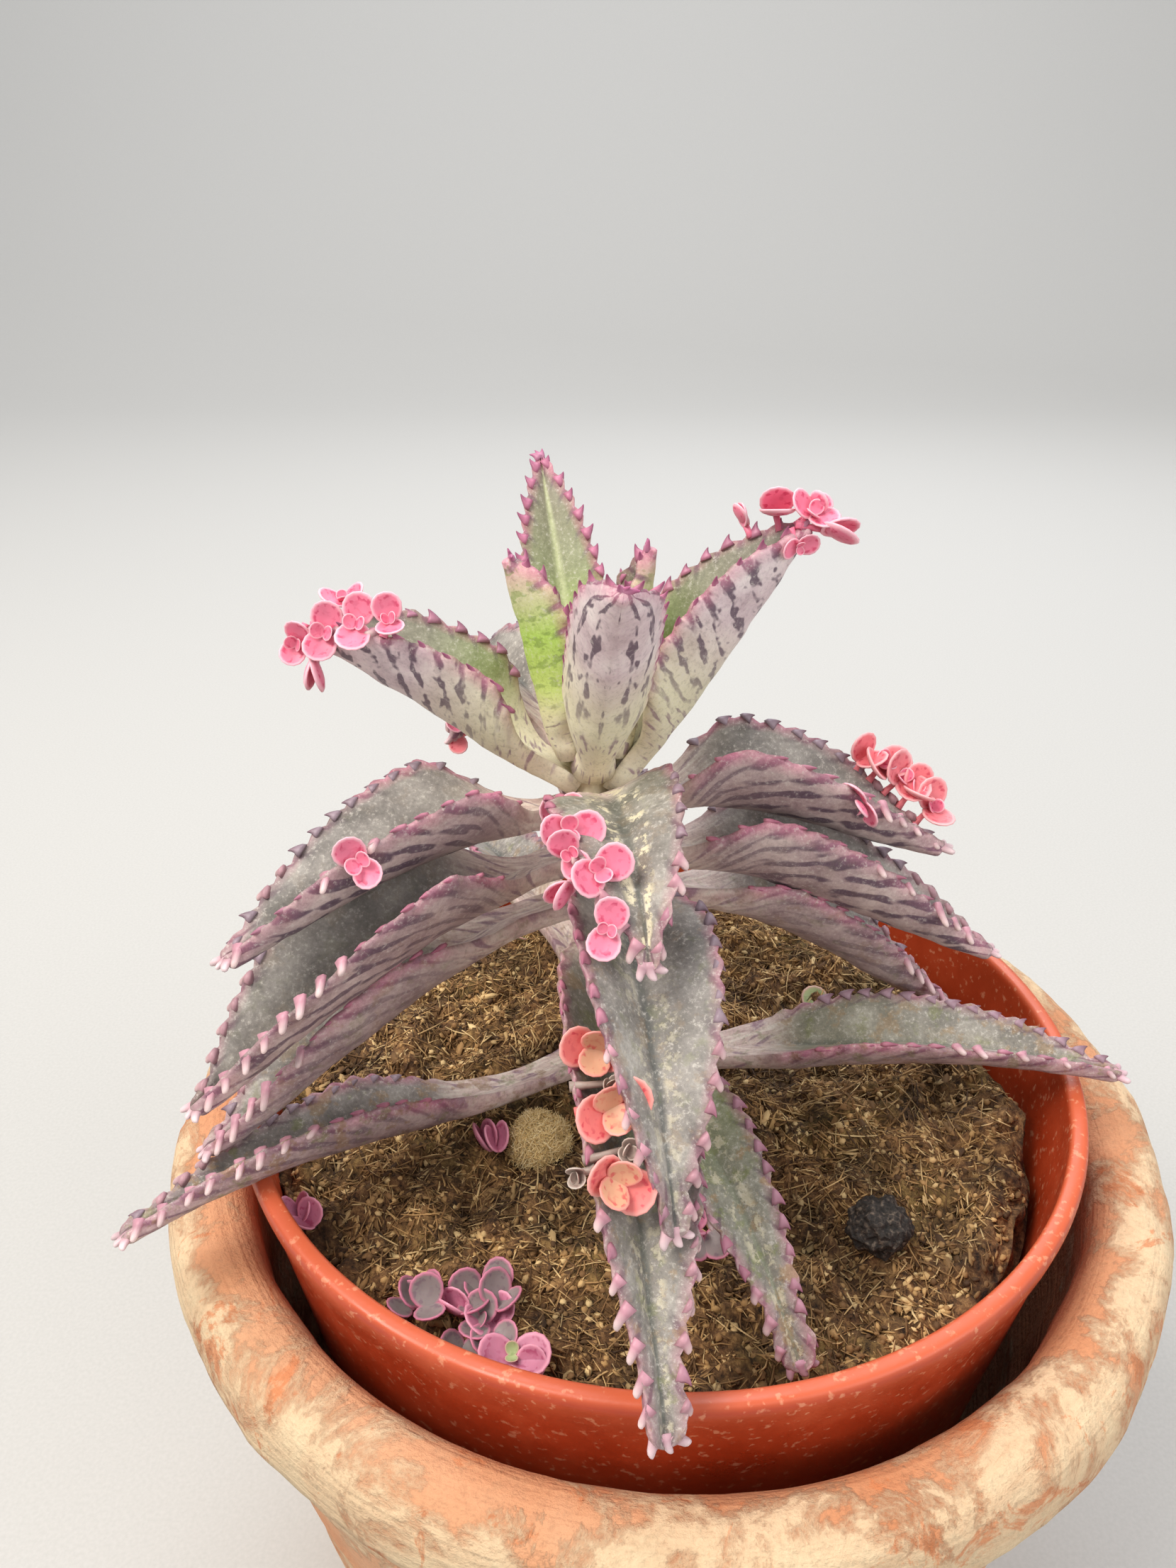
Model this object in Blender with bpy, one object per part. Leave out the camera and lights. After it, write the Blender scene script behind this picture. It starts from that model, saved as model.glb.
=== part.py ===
"""Mother of thousands, a leafy succulent, in a nursery pot that stands inside a clay pot.

Metres, +Z up. The origin is the centre of the clay pot's underside. The plant has opposite pairs of
toothed, boat-shaped leaves, each pair turned a quarter turn from the next, and its leaf edges
carry plantlets of two round leaves.
"""
import math
import random
from collections import namedtuple

import bmesh
import bpy
import numpy as np
from mathutils import Matrix, Vector

MM = 0.001
GAP = 0.3 * MM

# Clay pot, from the outside in
CLAY_BASE_RADIUS = 52.0 * MM
CLAY_BASE_ROUNDING = 1.5 * MM
CLAY_BODY_TOP_RADIUS = 68.0 * MM
CLAY_BEAD_WIDTH = 2.2 * MM
CLAY_BEAD_DEPTH = 6.0 * MM
CLAY_RIM_RADIUS = 72.7 * MM
CLAY_CREST_HEIGHT = 108.6 * MM
CLAY_RIM_DEPTH = 9.5 * MM
CLAY_LIP_RADIUS = 61.2 * MM
CLAY_INSIDE_BASE_RADIUS = 46.5 * MM
CLAY_FLOOR = 8.0 * MM
CLAY_FLOOR_FILLET = 4.0 * MM
CLAY_DRAIN_RADIUS = 6.5 * MM

# Plastic nursery pot, which stands on the clay pot's floor a little off its axis
POT_CENTRE = (-1.1 * MM, -0.9 * MM)
POT_FOOT = CLAY_FLOOR + GAP
POT_HEIGHT = 110.0 * MM
RIM_HEIGHT = POT_FOOT + POT_HEIGHT
POT_RIM_RADIUS = 60.0 * MM
POT_LIP_WIDTH = 3.3 * MM
POT_LIP_DEPTH = 5.0 * MM
POT_BASE_RADIUS = 42.0 * MM
POT_WALL = 1.6 * MM
POT_DRAIN_RADIUS = 3.5 * MM
POT_DRAIN_CIRCLE_RADIUS = 26.0 * MM
POT_DRAIN_COUNT = 6

# Soil
SOIL_LEVEL = RIM_HEIGHT - 8.4 * MM
SOIL_SHRINKAGE = 4.0 * MM
SOIL_SHOULDER_DEPTH = 8.0 * MM
SOIL_EDGE_DROOP = 1.2 * MM

# Stem, which stands left of the pot's axis
STEM_PLACE = (-10.8 * MM, -0.9 * MM)
STEM_FOOT_RADIUS = 3.1 * MM
STEM_TOP_RADIUS = 2.2 * MM
STEM_TOP = RIM_HEIGHT + 50.0 * MM
STEM_ROOT_DEPTH = 22.0 * MM
BUD_LENGTH = 6.5 * MM

# Leaves
TOOTH_PITCH = 2.9 * MM
TOOTH_LENGTH = 1.5 * MM
STALK_HALF_WIDTH = 2.0 * MM
STALK_FOLD = 12.0
KEEL_DEPTH = 2.9 * MM
BELLY_DEPTH = 1.9 * MM

# Each leaf: the height of its foot above the pot's rim and its compass direction; its rise above
# level at foot, middle and tip; the turn of its direction by the tip and the roll of its face, in
# degrees; the lengths of stalk and blade, half the blade's width and the blunt tip's, in
# millimetres; the angle each half is folded up by; and the length of the last teeth.
Leaf = namedtuple(
    "Leaf", "name height azimuth rise bend roll stalk blade half_width blunt fold fingers")
LEAVES = (
    Leaf("leaf_01_left", 48.0, 187, (72, 75, 72), 0, 4, 4.5, 20.5, 6.0, 0.4, 43, 1.6),
    Leaf("leaf_01_right", 48.0, 5, (76, 82, 83), 0, 0, 5.5, 19.5, 5.4, 0.4, 42, 2.2),
    Leaf("leaf_02_front", 46.0, -83, (54, 52, 48), -1, -12, 10.0, 28.5, 6.9, 0.6, 45, 1.8),
    Leaf("leaf_02_back", 46.0, 104, (49, 52, 48), 1, -5, 7.5, 33.5, 6.2, 0.4, 21, 1.7),
    Leaf("leaf_03_left", 43.5, 178, (29, 32, 22), 0, 3, 10.5, 27.5, 9.8, 0.6, 49, 1.7),
    Leaf("leaf_03_right", 43.5, 0, (54, 56, 56), -1, 2, 12.5, 26.5, 10.0, 0.6, 47, 1.7),
    Leaf("leaf_04_front", 41.0, -80, (34, -2, -54), -1, 10, 8.0, 28.5, 8.2, 1.2, 20, 2.2),
    Leaf("leaf_04_back", 41.0, 122, (46, -10, -86), 0, -6, 13.5, 36.5, 7.6, 0.8, 40, 2.0),
    Leaf("leaf_05_left", 39.0, 213, (18, -10, -18), 2, 9, 10.5, 37.5, 10.2, 1.0, 43, 2.6),
    Leaf("leaf_05_right", 39.0, -4, (28, -14, -12), 0, -1, 9.5, 35.0, 9.8, 0.8, 54, 2.4),
    Leaf("leaf_06_front", 34.0, -80, (14, -18, -52), -2, -14, 16.0, 39.0, 9.6, 1.6, 29, 3.0),
    Leaf("leaf_06_back", 35.0, 96, (24, -10, -40), 0, 4, 14.5, 40.0, 9.0, 1.4, 34, 2.8),
    Leaf("leaf_07_left", 31.8, 217, (11, -19, -22), 1, 4, 14.0, 42.5, 13.0, 1.2, 48, 2.8),
    Leaf("leaf_07_right", 32.0, -5, (13, -21, -18), 0, -6, 11.5, 42.5, 9.5, 1.0, 57, 2.6),
    Leaf("leaf_08_front", 29.0, -86, (7, -25, -43), 5, -15, 18.5, 50.0, 9.1, 2.4, 32, 3.6),
    Leaf("leaf_08_back", 28.0, 88, (6, -24, -34), 0, 6, 18.0, 43.0, 8.6, 1.6, 34, 3.0),
    Leaf("leaf_09_left", 24.7, 211, (9, -27, -23), 0, 11, 18.5, 38.0, 8.5, 1.2, 47, 3.0),
    Leaf("leaf_09_right", 25.0, 2, (15, -31, -30), 3, -5, 16.0, 39.5, 8.4, 1.0, 45, 3.0),
    Leaf("leaf_10_front", 11.0, -66, (1, -13, -50), 1, 7, 18.0, 38.0, 6.0, 2.0, 20, 3.2),
    Leaf("leaf_10_back", 10.0, 114, (10, -6, -18), 0, 0, 19.0, 34.0, 7.0, 1.6, 34, 3.0),
    Leaf("leaf_11_left", -3.4, 214, (1, 8, -14), 0, 14, 19.0, 44.5, 6.7, 1.4, 48, 3.6),
    Leaf("leaf_11_right", -3.6, -9, (12, 7, -10), 0, 1, 23.5, 46.5, 7.8, 1.4, 40, 3.4),
)

# Plantlets on the leaf edges: the side of the blade, counted anticlockwise of the leaf as +1, the
# stretch of blade that they fill, as a fraction of its length, their number and their width.
Brood = namedtuple("Brood", "leaf side first last count width")
BROODS = (
    Brood("leaf_03_left", 1, 0.80, 0.99, 2, 5.8),
    Brood("leaf_03_left", -1, 0.74, 0.97, 3, 5.6),
    Brood("leaf_03_right", 1, 0.76, 0.98, 2, 5.2),
    Brood("leaf_03_right", -1, 0.84, 0.99, 2, 5.2),
    Brood("leaf_04_front", -1, 0.12, 0.86, 5, 5.4),
    Brood("leaf_04_back", -1, 0.80, 0.98, 2, 5.0),
    Brood("leaf_05_left", 1, 0.52, 0.52, 1, 6.0),
    Brood("leaf_05_right", 1, 0.66, 0.97, 3, 5.6),
    Brood("leaf_05_right", -1, 0.62, 0.62, 1, 5.4),
    Brood("leaf_06_back", 1, 0.55, 0.90, 2, 5.2),
    Brood("leaf_08_front", -1, 0.05, 0.42, 4, 6.4),
    Brood("leaf_08_back", -1, 0.60, 0.90, 2, 5.2),
)
PLANTLET_ROOT = 1.2 * MM
PLANTLET_STALK = 1.3 * MM
PLANTLET_STALK_RADIUS = 0.6 * MM
PLANTLET_THICKNESS = 1.0 * MM
PLANTLET_CUP = 0.22

# Plantlets that dropped on the soil: their place from the part's origin, number, width and seed
Fallen = namedtuple("Fallen", "name x y count width seed")
FALLEN = (
    Fallen("fallen_plantlets_01", -24.4, -43.0, 6, 6.2, 3),
    Fallen("fallen_plantlets_02", -26.5, -16.5, 1, 5.0, 5),
    Fallen("fallen_plantlets_03", -47.0, -27.0, 1, 5.4, 8),
    Fallen("fallen_plantlets_04", 2.0, -31.5, 2, 5.6, 2),
    Fallen("fallen_plantlets_05", 25.6, 17.0, 2, 5.4, 4),
    Fallen("fallen_plantlets_06", -21.5, 34.5, 2, 4.8, 6),
)

FIBRE_BALL = (-18.0 * MM, -16.4 * MM, 3.9 * MM)
DARK_CLUMP = (25.4 * MM, -32.3 * MM, 4.0 * MM)

# Facets
POT_STEPS = 40
DRAIN_STEPS = 12
SOIL_STEPS = 32
SOIL_RINGS = 5
STEM_STEPS = 10
DISC_STEPS = 7


def clear_scene():
    for old in list(bpy.data.objects):
        bpy.data.objects.remove(old, do_unlink=True)


def make_material(name, colour, roughness):
    """A Principled surface; colour is linear red, green and blue."""
    material = bpy.data.materials.new(name)
    material.use_nodes = True
    surface = material.node_tree.nodes["Principled BSDF"]
    surface.inputs["Base Color"].default_value = (*colour, 1.0)
    surface.inputs["Roughness"].default_value = roughness
    surface.inputs["Metallic"].default_value = 0.0
    material.diffuse_color = (*colour, 1.0)
    return material


def add_object(name, bm, material, smooth_angle=None):
    """Turn a closed bmesh into a named object with its faces pointing out."""
    bmesh.ops.recalc_face_normals(bm, faces=bm.faces)
    mesh = bpy.data.meshes.new(name)
    bm.to_mesh(mesh)
    bm.free()
    mesh.materials.append(material)
    if smooth_angle is not None:
        mesh.shade_smooth()
        mesh.set_sharp_from_angle(angle=math.radians(smooth_angle))
    obj = bpy.data.objects.new(name, mesh)
    bpy.context.scene.collection.objects.link(obj)
    return obj


def lathe(name, profile, centre, steps, material):
    """Turn a closed outline of (radius, height) points about a vertical axis."""
    bm = bmesh.new()
    ring = [bm.verts.new((centre[0] + radius, centre[1], height)) for radius, height in profile]
    edges = [bm.edges.new((a, b)) for a, b in zip(ring, ring[1:] + ring[:1])]
    bmesh.ops.spin(bm, geom=ring + edges, cent=(*centre, 0.0), axis=(0, 0, 1),
                   angle=2 * math.pi, steps=steps, use_duplicate=False)
    bmesh.ops.remove_doubles(bm, verts=bm.verts, dist=1e-6)
    bmesh.ops.dissolve_degenerate(bm, edges=bm.edges, dist=1e-7)
    return add_object(name, bm, material, smooth_angle=35)


def arc(centre, radii, start, end, points):
    """Points of an elliptical arc in the (radius, height) plane, angles in degrees."""
    angles = [math.radians(start + (end - start) * i / (points - 1)) for i in range(points)]
    return [(centre[0] + radii[0] * math.cos(a), centre[1] + radii[1] * math.sin(a)) for a in angles]


def apply_modifier(obj, modifier):
    """Keep the evaluated mesh and drop the modifier."""
    graph = bpy.context.evaluated_depsgraph_get()
    mesh = bpy.data.meshes.new_from_object(obj.evaluated_get(graph))
    obj.modifiers.remove(modifier)
    obj.data = mesh


def fuse(obj, pieces):
    """Join overlapping pieces to obj in one Boolean union."""
    group = bpy.data.collections.new(obj.name + "_pieces")
    bpy.context.scene.collection.children.link(group)
    for piece in pieces:
        bpy.context.scene.collection.objects.unlink(piece)
        group.objects.link(piece)
    union = obj.modifiers.new("union", "BOOLEAN")
    union.operation = "UNION"
    union.operand_type = "COLLECTION"
    union.collection = group
    union.solver = "EXACT"
    apply_modifier(obj, union)
    for piece in pieces:
        bpy.data.objects.remove(piece, do_unlink=True)
    bpy.data.collections.remove(group)


def cut(obj, cutter):
    """Take the cutter out of obj, and keep it only as a guide."""
    cutter.hide_render = True
    cutter.display_type = "WIRE"
    difference = obj.modifiers.new("hole", "BOOLEAN")
    difference.operation = "DIFFERENCE"
    difference.solver = "EXACT"
    difference.object = cutter


def make_clay_pot(material):
    """Hand-thrown clay pot: tapered body, a bead under the rolled rim, one drain hole."""
    rim_foot = CLAY_CREST_HEIGHT - CLAY_RIM_DEPTH
    roll_radius = (CLAY_RIM_RADIUS - CLAY_LIP_RADIUS) / 2
    roll_centre = (CLAY_LIP_RADIUS + roll_radius, rim_foot + 2.0 * MM)
    roll = arc(roll_centre, (roll_radius, CLAY_CREST_HEIGHT - roll_centre[1]), -20, 180, 8)
    profile = [
        (CLAY_DRAIN_RADIUS, 0.0),
        (CLAY_BASE_RADIUS - CLAY_BASE_ROUNDING, 0.0),
        (CLAY_BASE_RADIUS, CLAY_BASE_ROUNDING),
        (CLAY_BODY_TOP_RADIUS, rim_foot - CLAY_BEAD_DEPTH),
        (CLAY_BODY_TOP_RADIUS + CLAY_BEAD_WIDTH, rim_foot - 0.6 * CLAY_BEAD_DEPTH),
        (CLAY_BODY_TOP_RADIUS + 0.65 * CLAY_BEAD_WIDTH, rim_foot - 0.1 * CLAY_BEAD_DEPTH),
        *roll,
        (CLAY_LIP_RADIUS - 1.0 * MM, rim_foot - 2 * CLAY_BEAD_DEPTH),
        (CLAY_INSIDE_BASE_RADIUS + 1.0 * MM, CLAY_FLOOR + CLAY_FLOOR_FILLET),
        (CLAY_INSIDE_BASE_RADIUS - 0.5 * CLAY_FLOOR_FILLET, CLAY_FLOOR),
        (CLAY_DRAIN_RADIUS, CLAY_FLOOR),
    ]
    return lathe("clay_pot", profile, (0.0, 0.0), POT_STEPS, material)


def pot_outer_radius(height):
    """Radius of the nursery pot's outer wall at a height above the ground."""
    share = (height - POT_FOOT) / POT_HEIGHT
    return POT_BASE_RADIUS + (POT_RIM_RADIUS - 0.5 * MM - POT_BASE_RADIUS) * share


def make_nursery_pot(material):
    """Moulded pot with a thick flat lip, a thin tapered wall and drain holes in its floor."""
    lip_foot = RIM_HEIGHT - POT_LIP_DEPTH
    floor = POT_FOOT + POT_WALL
    profile = [
        (0.0, POT_FOOT),
        (POT_BASE_RADIUS - 1.0 * MM, POT_FOOT),
        (POT_BASE_RADIUS, POT_FOOT + 1.0 * MM),
        (pot_outer_radius(lip_foot), lip_foot),
        (POT_RIM_RADIUS, lip_foot + 0.6 * MM),
        (POT_RIM_RADIUS, RIM_HEIGHT - 0.7 * MM),
        (POT_RIM_RADIUS - 0.7 * MM, RIM_HEIGHT),
        (POT_RIM_RADIUS - POT_LIP_WIDTH + 0.5 * MM, RIM_HEIGHT),
        (POT_RIM_RADIUS - POT_LIP_WIDTH, RIM_HEIGHT - 0.5 * MM),
        (POT_RIM_RADIUS - POT_LIP_WIDTH, lip_foot + 1.0 * MM),
        (pot_outer_radius(lip_foot) - POT_WALL, lip_foot - 0.6 * MM),
        (pot_outer_radius(floor) - POT_WALL, floor),
        (0.0, floor),
    ]
    pot = lathe("nursery_pot", profile, POT_CENTRE, POT_STEPS, material)
    bm = bmesh.new()
    for index in range(POT_DRAIN_COUNT):
        angle = 2 * math.pi * index / POT_DRAIN_COUNT
        place = Matrix.Translation((POT_CENTRE[0] + POT_DRAIN_CIRCLE_RADIUS * math.cos(angle),
                                    POT_CENTRE[1] + POT_DRAIN_CIRCLE_RADIUS * math.sin(angle),
                                    POT_FOOT + POT_WALL / 2))
        bmesh.ops.create_cone(bm, cap_ends=True, segments=DRAIN_STEPS, radius1=POT_DRAIN_RADIUS,
                              radius2=POT_DRAIN_RADIUS, depth=4 * POT_WALL, matrix=place)
    cut(pot, add_object("drain_cutter", bm, material))
    return pot


def soil_height(x, y):
    """Height of the soil's lumpy top at a place."""
    u, v = x / MM, y / MM
    lumps = 0.8 * math.sin(u / 7.0 + 1.1) * math.cos(v / 9.0 - 0.4)
    lumps += 0.5 * math.sin(u / 3.1 + v / 4.3)
    from_stem = math.hypot(x - STEM_PLACE[0], y - STEM_PLACE[1])
    calm = min(1.0, max(0.0, (from_stem - 6.0 * MM) / (18.0 * MM)))
    return SOIL_LEVEL + lumps * calm * MM


def soil_edge_radius(angle):
    """Radius of the soil's top edge, which has shrunk from the wall, most on the right."""
    wall = POT_RIM_RADIUS - POT_LIP_WIDTH - GAP
    shrunk = 0.25 + 0.75 * max(0.0, math.cos(angle - math.radians(8))) ** 3
    return wall - SOIL_SHRINKAGE * shrunk * (1.0 + 0.25 * math.sin(7 * angle))


def make_soil(material):
    """Plug of soil with a lumpy top and a plain hole that the stem stands in."""
    bm = bmesh.new()
    top_centre = bm.verts.new((*POT_CENTRE, soil_height(*POT_CENTRE)))
    rings = []
    for ring in range(1, SOIL_RINGS + 1):
        row = []
        for step in range(SOIL_STEPS):
            angle = 2 * math.pi * step / SOIL_STEPS
            radius = soil_edge_radius(angle) * ring / SOIL_RINGS
            x = POT_CENTRE[0] + radius * math.cos(angle)
            y = POT_CENTRE[1] + radius * math.sin(angle)
            droop = SOIL_EDGE_DROOP if ring == SOIL_RINGS else 0.0
            row.append(bm.verts.new((x, y, soil_height(x, y) - droop)))
        rings.append(row)
    foot = POT_FOOT + POT_WALL + GAP
    for height in (SOIL_LEVEL - SOIL_SHOULDER_DEPTH, foot):
        radius = pot_outer_radius(height) - POT_WALL - 2 * GAP
        rings.append([bm.verts.new((POT_CENTRE[0] + radius * math.cos(2 * math.pi * i / SOIL_STEPS),
                                    POT_CENTRE[1] + radius * math.sin(2 * math.pi * i / SOIL_STEPS),
                                    height)) for i in range(SOIL_STEPS)])
    for a, b in zip(rings[0], rings[0][1:] + rings[0][:1]):
        bm.faces.new((top_centre, a, b))
    for inner, outer in zip(rings, rings[1:]):
        for i in range(SOIL_STEPS):
            j = (i + 1) % SOIL_STEPS
            bm.faces.new((inner[i], outer[i], outer[j], inner[j]))
    bm.faces.new(rings[-1])
    soil = add_object("soil", bm, material, smooth_angle=50)
    bm = bmesh.new()
    depth = 1.5 * STEM_ROOT_DEPTH
    place = Matrix.Translation((*STEM_PLACE, SOIL_LEVEL - STEM_ROOT_DEPTH - GAP + depth / 2))
    bmesh.ops.create_cone(bm, cap_ends=True, segments=STEM_STEPS, depth=depth, matrix=place,
                          radius1=STEM_FOOT_RADIUS + 2 * GAP, radius2=STEM_FOOT_RADIUS + 2 * GAP)
    cut(soil, add_object("stem_hole_cutter", bm, material))
    return soil


def stem_radius(height):
    """The stem tapers from the soil to its top."""
    share = (height - SOIL_LEVEL) / (STEM_TOP - SOIL_LEVEL)
    share = min(1.0, max(0.0, share))
    return STEM_FOOT_RADIUS + (STEM_TOP_RADIUS - STEM_FOOT_RADIUS) * share


def make_stem(material):
    """Upright stem that ends in a pointed bud between the youngest leaves."""
    bud_foot = STEM_TOP - 3.0 * MM
    profile = [
        (0.0, SOIL_LEVEL - STEM_ROOT_DEPTH),
        (STEM_FOOT_RADIUS, SOIL_LEVEL - STEM_ROOT_DEPTH + 1.0 * MM),
        (STEM_FOOT_RADIUS, SOIL_LEVEL),
        (stem_radius(bud_foot), bud_foot),
        (0.85 * STEM_TOP_RADIUS, STEM_TOP + 0.25 * BUD_LENGTH),
        (0.55 * STEM_TOP_RADIUS, STEM_TOP + 0.6 * BUD_LENGTH),
        (0.0, STEM_TOP + BUD_LENGTH),
    ]
    return lathe("stem", profile, STEM_PLACE, STEM_STEPS, material)


def leaf_path(leaf, fractions):
    """Points along a leaf's channel, with its forward, sideways and upper directions there."""
    fine = np.linspace(0.0, 1.0, 121)
    start, middle, end = leaf.rise
    rise = np.radians(start * (1 - fine) * (1 - 2 * fine) + 4 * middle * fine * (1 - fine)
                      + end * fine * (2 * fine - 1))
    heading = np.radians(leaf.azimuth + leaf.bend * fine)
    forward = np.stack([np.cos(rise) * np.cos(heading), np.cos(rise) * np.sin(heading),
                        np.sin(rise)], axis=1)
    reach = (leaf.stalk + leaf.blade) * MM
    steps = (forward[1:] + forward[:-1]) / 2 * reach / (len(fine) - 1)
    height = RIM_HEIGHT + leaf.height * MM
    foot_radius = stem_radius(height) + 0.5 * MM
    foot = np.array([STEM_PLACE[0] + foot_radius * math.cos(heading[0]),
                     STEM_PLACE[1] + foot_radius * math.sin(heading[0]), height])
    points = foot + np.vstack([np.zeros(3), np.cumsum(steps, axis=0)])
    side = np.stack([-np.sin(heading), np.cos(heading), 0 * heading], axis=1)
    upper = np.cross(forward, side)
    turn = np.radians(leaf.roll) * np.minimum(1.0, fine * reach / (leaf.stalk * MM))
    turned_side = side * np.cos(turn)[:, None] + upper * np.sin(turn)[:, None]
    turned_upper = upper * np.cos(turn)[:, None] - side * np.sin(turn)[:, None]

    def at(values):
        return np.stack([np.interp(fractions, fine, values[:, k]) for k in range(3)], axis=1)

    return at(points), at(forward), at(turned_side), at(turned_upper)


def smooth_step(value):
    value = min(1.0, max(0.0, value))
    return value * value * (3 - 2 * value)


def blade_half_width(leaf, along):
    """Half the blade's width at a fraction of its length: a quick shoulder, then a long taper."""
    if along <= 0.0:
        return STALK_HALF_WIDTH
    shoulder = min(1.0, along / 0.15) ** 0.6
    taper = max(0.0, 1 - max(0.0, (along - 0.1) / 0.9) ** 1.9) ** 0.9
    narrowest = STALK_HALF_WIDTH * (1 - along) + leaf.blunt * MM * smooth_step(along * 4)
    return max(leaf.half_width * MM * shoulder * taper, narrowest)


def leaf_section(leaf, along, tooth, point, forward, side, upper):
    """Six points round a leaf: left edge, channel, right edge, right belly, keel, left belly."""
    width = blade_half_width(leaf, along)
    opened = smooth_step(along / 0.15)
    fold = math.radians(STALK_FOLD + (leaf.fold - STALK_FOLD) * opened)
    slim = (1 - 0.5 * max(0.0, along)) * (0.8 if leaf.half_width < 7 else 1.0)
    belly = BELLY_DEPTH * slim
    keel = KEEL_DEPTH * slim
    ring = []
    for sign in (1, -1):
        edge_out = (width + 0.85 * tooth) * math.cos(fold)
        edge_up = (width + 0.85 * tooth) * math.sin(fold) + 0.1 * tooth
        edge = point + sign * edge_out * side + edge_up * upper + 0.5 * tooth * forward
        belly_out = 0.55 * width * math.cos(fold) + belly * math.sin(fold)
        belly_up = 0.55 * width * math.sin(fold) - belly * math.cos(fold)
        ring.append((edge, point + sign * belly_out * side + belly_up * upper))
    (left_edge, left_belly), (right_edge, right_belly) = ring
    return [left_edge, point, right_edge, right_belly, point - keel * upper, left_belly]


def leaf_stations(leaf):
    """Fractions of the whole leaf, fractions of the blade and tooth lengths, foot to tip."""
    whole = leaf.stalk + leaf.blade
    teeth = round(leaf.blade * MM / TOOTH_PITCH)
    stations = [(share * leaf.stalk / whole, share - 1.0, 0.0) for share in (0.0, 0.35, 0.7)]
    for tooth in range(teeth):
        for share, long in ((0.0, 0.0), (0.58, 1.0)):
            along = (tooth + share) / teeth
            length = TOOTH_LENGTH + (leaf.fingers * MM - TOOTH_LENGTH) * smooth_step(
                (along - 0.55) / 0.4)
            stations.append(((leaf.stalk + leaf.blade * along) / whole, along, long * length))
    return stations


def make_leaf(leaf, material):
    """Toothed, folded leaf on its stalk. Both faces are split alike, so that they never cross."""
    stations = leaf_stations(leaf)
    path = leaf_path(leaf, [station[0] for station in stations] + [1.0])
    bm = bmesh.new()
    rings = []
    for (_, along, tooth), *frame in zip(stations, *path):
        section = leaf_section(leaf, along, tooth, *frame)
        rings.append([bm.verts.new(place) for place in section])
    last, forward = path[0][-1], path[1][-1]
    tip = bm.verts.new(last + forward * leaf.fingers * 0.5 * MM)
    # strips as (column, next column, whether the first column leads)
    strips = ((0, 1, True), (1, 2, False), (2, 3, True), (3, 4, True), (4, 5, False), (5, 0, False))
    for near, far in zip(rings, rings[1:]):
        for a, b, first_leads in strips:
            if first_leads:
                bm.faces.new((near[a], far[a], near[b]))
                bm.faces.new((far[a], far[b], near[b]))
            else:
                bm.faces.new((near[b], far[b], near[a]))
                bm.faces.new((far[b], far[a], near[a]))
    for a, b, _ in strips:
        bm.faces.new((rings[-1][a], rings[-1][b], tip))
    bm.faces.new(rings[0])
    return add_object(leaf.name, bm, material)


def add_round_leaf(bm, root, direction, face, width):
    """One cupped round leaf: a thin lens that starts at root and faces along face."""
    radius = width / 2
    across = direction.cross(face).normalized()
    centre = root + direction * radius * 0.82
    rim = []
    for step in range(DISC_STEPS):
        angle = math.pi + 2 * math.pi * step / DISC_STEPS
        rim.append(bm.verts.new(centre + radius * (math.cos(angle) * direction
                                                   + 0.9 * math.sin(angle) * across)))
    dish = centre - face * PLANTLET_CUP * radius
    inner = bm.verts.new(dish)
    outer = bm.verts.new(dish - face * PLANTLET_THICKNESS)
    for a, b in zip(rim, rim[1:] + rim[:1]):
        bm.faces.new((a, b, inner))
        bm.faces.new((b, a, outer))


def make_stalk(foot, axis, length, material):
    """Short three-sided stalk that ties a plantlet to what it grows from."""
    bm = bmesh.new()
    turn = Vector((0, 0, 1)).rotation_difference(axis).to_matrix().to_4x4()
    place = Matrix.Translation(foot + axis * length / 2) @ turn
    bmesh.ops.create_cone(bm, cap_ends=True, segments=3, radius1=PLANTLET_STALK_RADIUS,
                          radius2=PLANTLET_STALK_RADIUS, depth=length, matrix=place)
    return add_object("stalk", bm, material)


def make_plantlet(root, axis, width, chance, material):
    """A pair of round leaves that open from one root like a clam, as separate closed shells."""
    axis = axis.normalized()
    guide = Vector((chance.uniform(-1, 1), chance.uniform(-1, 1), chance.uniform(-1, 1)))
    hinge = axis.cross(guide).normalized()
    opening = math.radians(chance.uniform(48, 70))
    pieces = []
    for sign in (1, -1):
        direction = axis.copy()
        direction.rotate(Matrix.Rotation(sign * opening, 3, hinge))
        face = direction.cross(hinge) * sign
        bm = bmesh.new()
        add_round_leaf(bm, root, direction, face, width * chance.uniform(0.88, 1.06))
        pieces.append(add_object("round_leaf", bm, material))
    return pieces


def make_brood(leaf, brood, chance, material):
    """Plantlets along one edge of a leaf, with their roots sunk into it."""
    pieces = []
    for index in range(brood.count):
        share = index / max(1, brood.count - 1)
        along = min(0.985, brood.first + (brood.last - brood.first) * share)
        whole = leaf.stalk + leaf.blade
        path = leaf_path(leaf, [(leaf.stalk + leaf.blade * along) / whole])
        frame = [values[0] for values in path]
        section = leaf_section(leaf, along, 0.0, *frame)
        edge = Vector(section[0] if brood.side > 0 else section[2])
        channel = Vector(section[1])
        outward = (edge - channel).normalized()
        upper = Vector(frame[3])
        lean = upper * chance.uniform(0.2, 0.9) + Vector(frame[1]) * chance.uniform(-0.2, 0.6)
        foot = edge - outward * PLANTLET_ROOT
        pieces.append(make_stalk(foot, outward, PLANTLET_ROOT + PLANTLET_STALK + 0.4 * MM, material))
        root = edge + outward * PLANTLET_STALK
        pieces += make_plantlet(root, outward + lean, brood.width * MM, chance, material)
    return pieces


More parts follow.
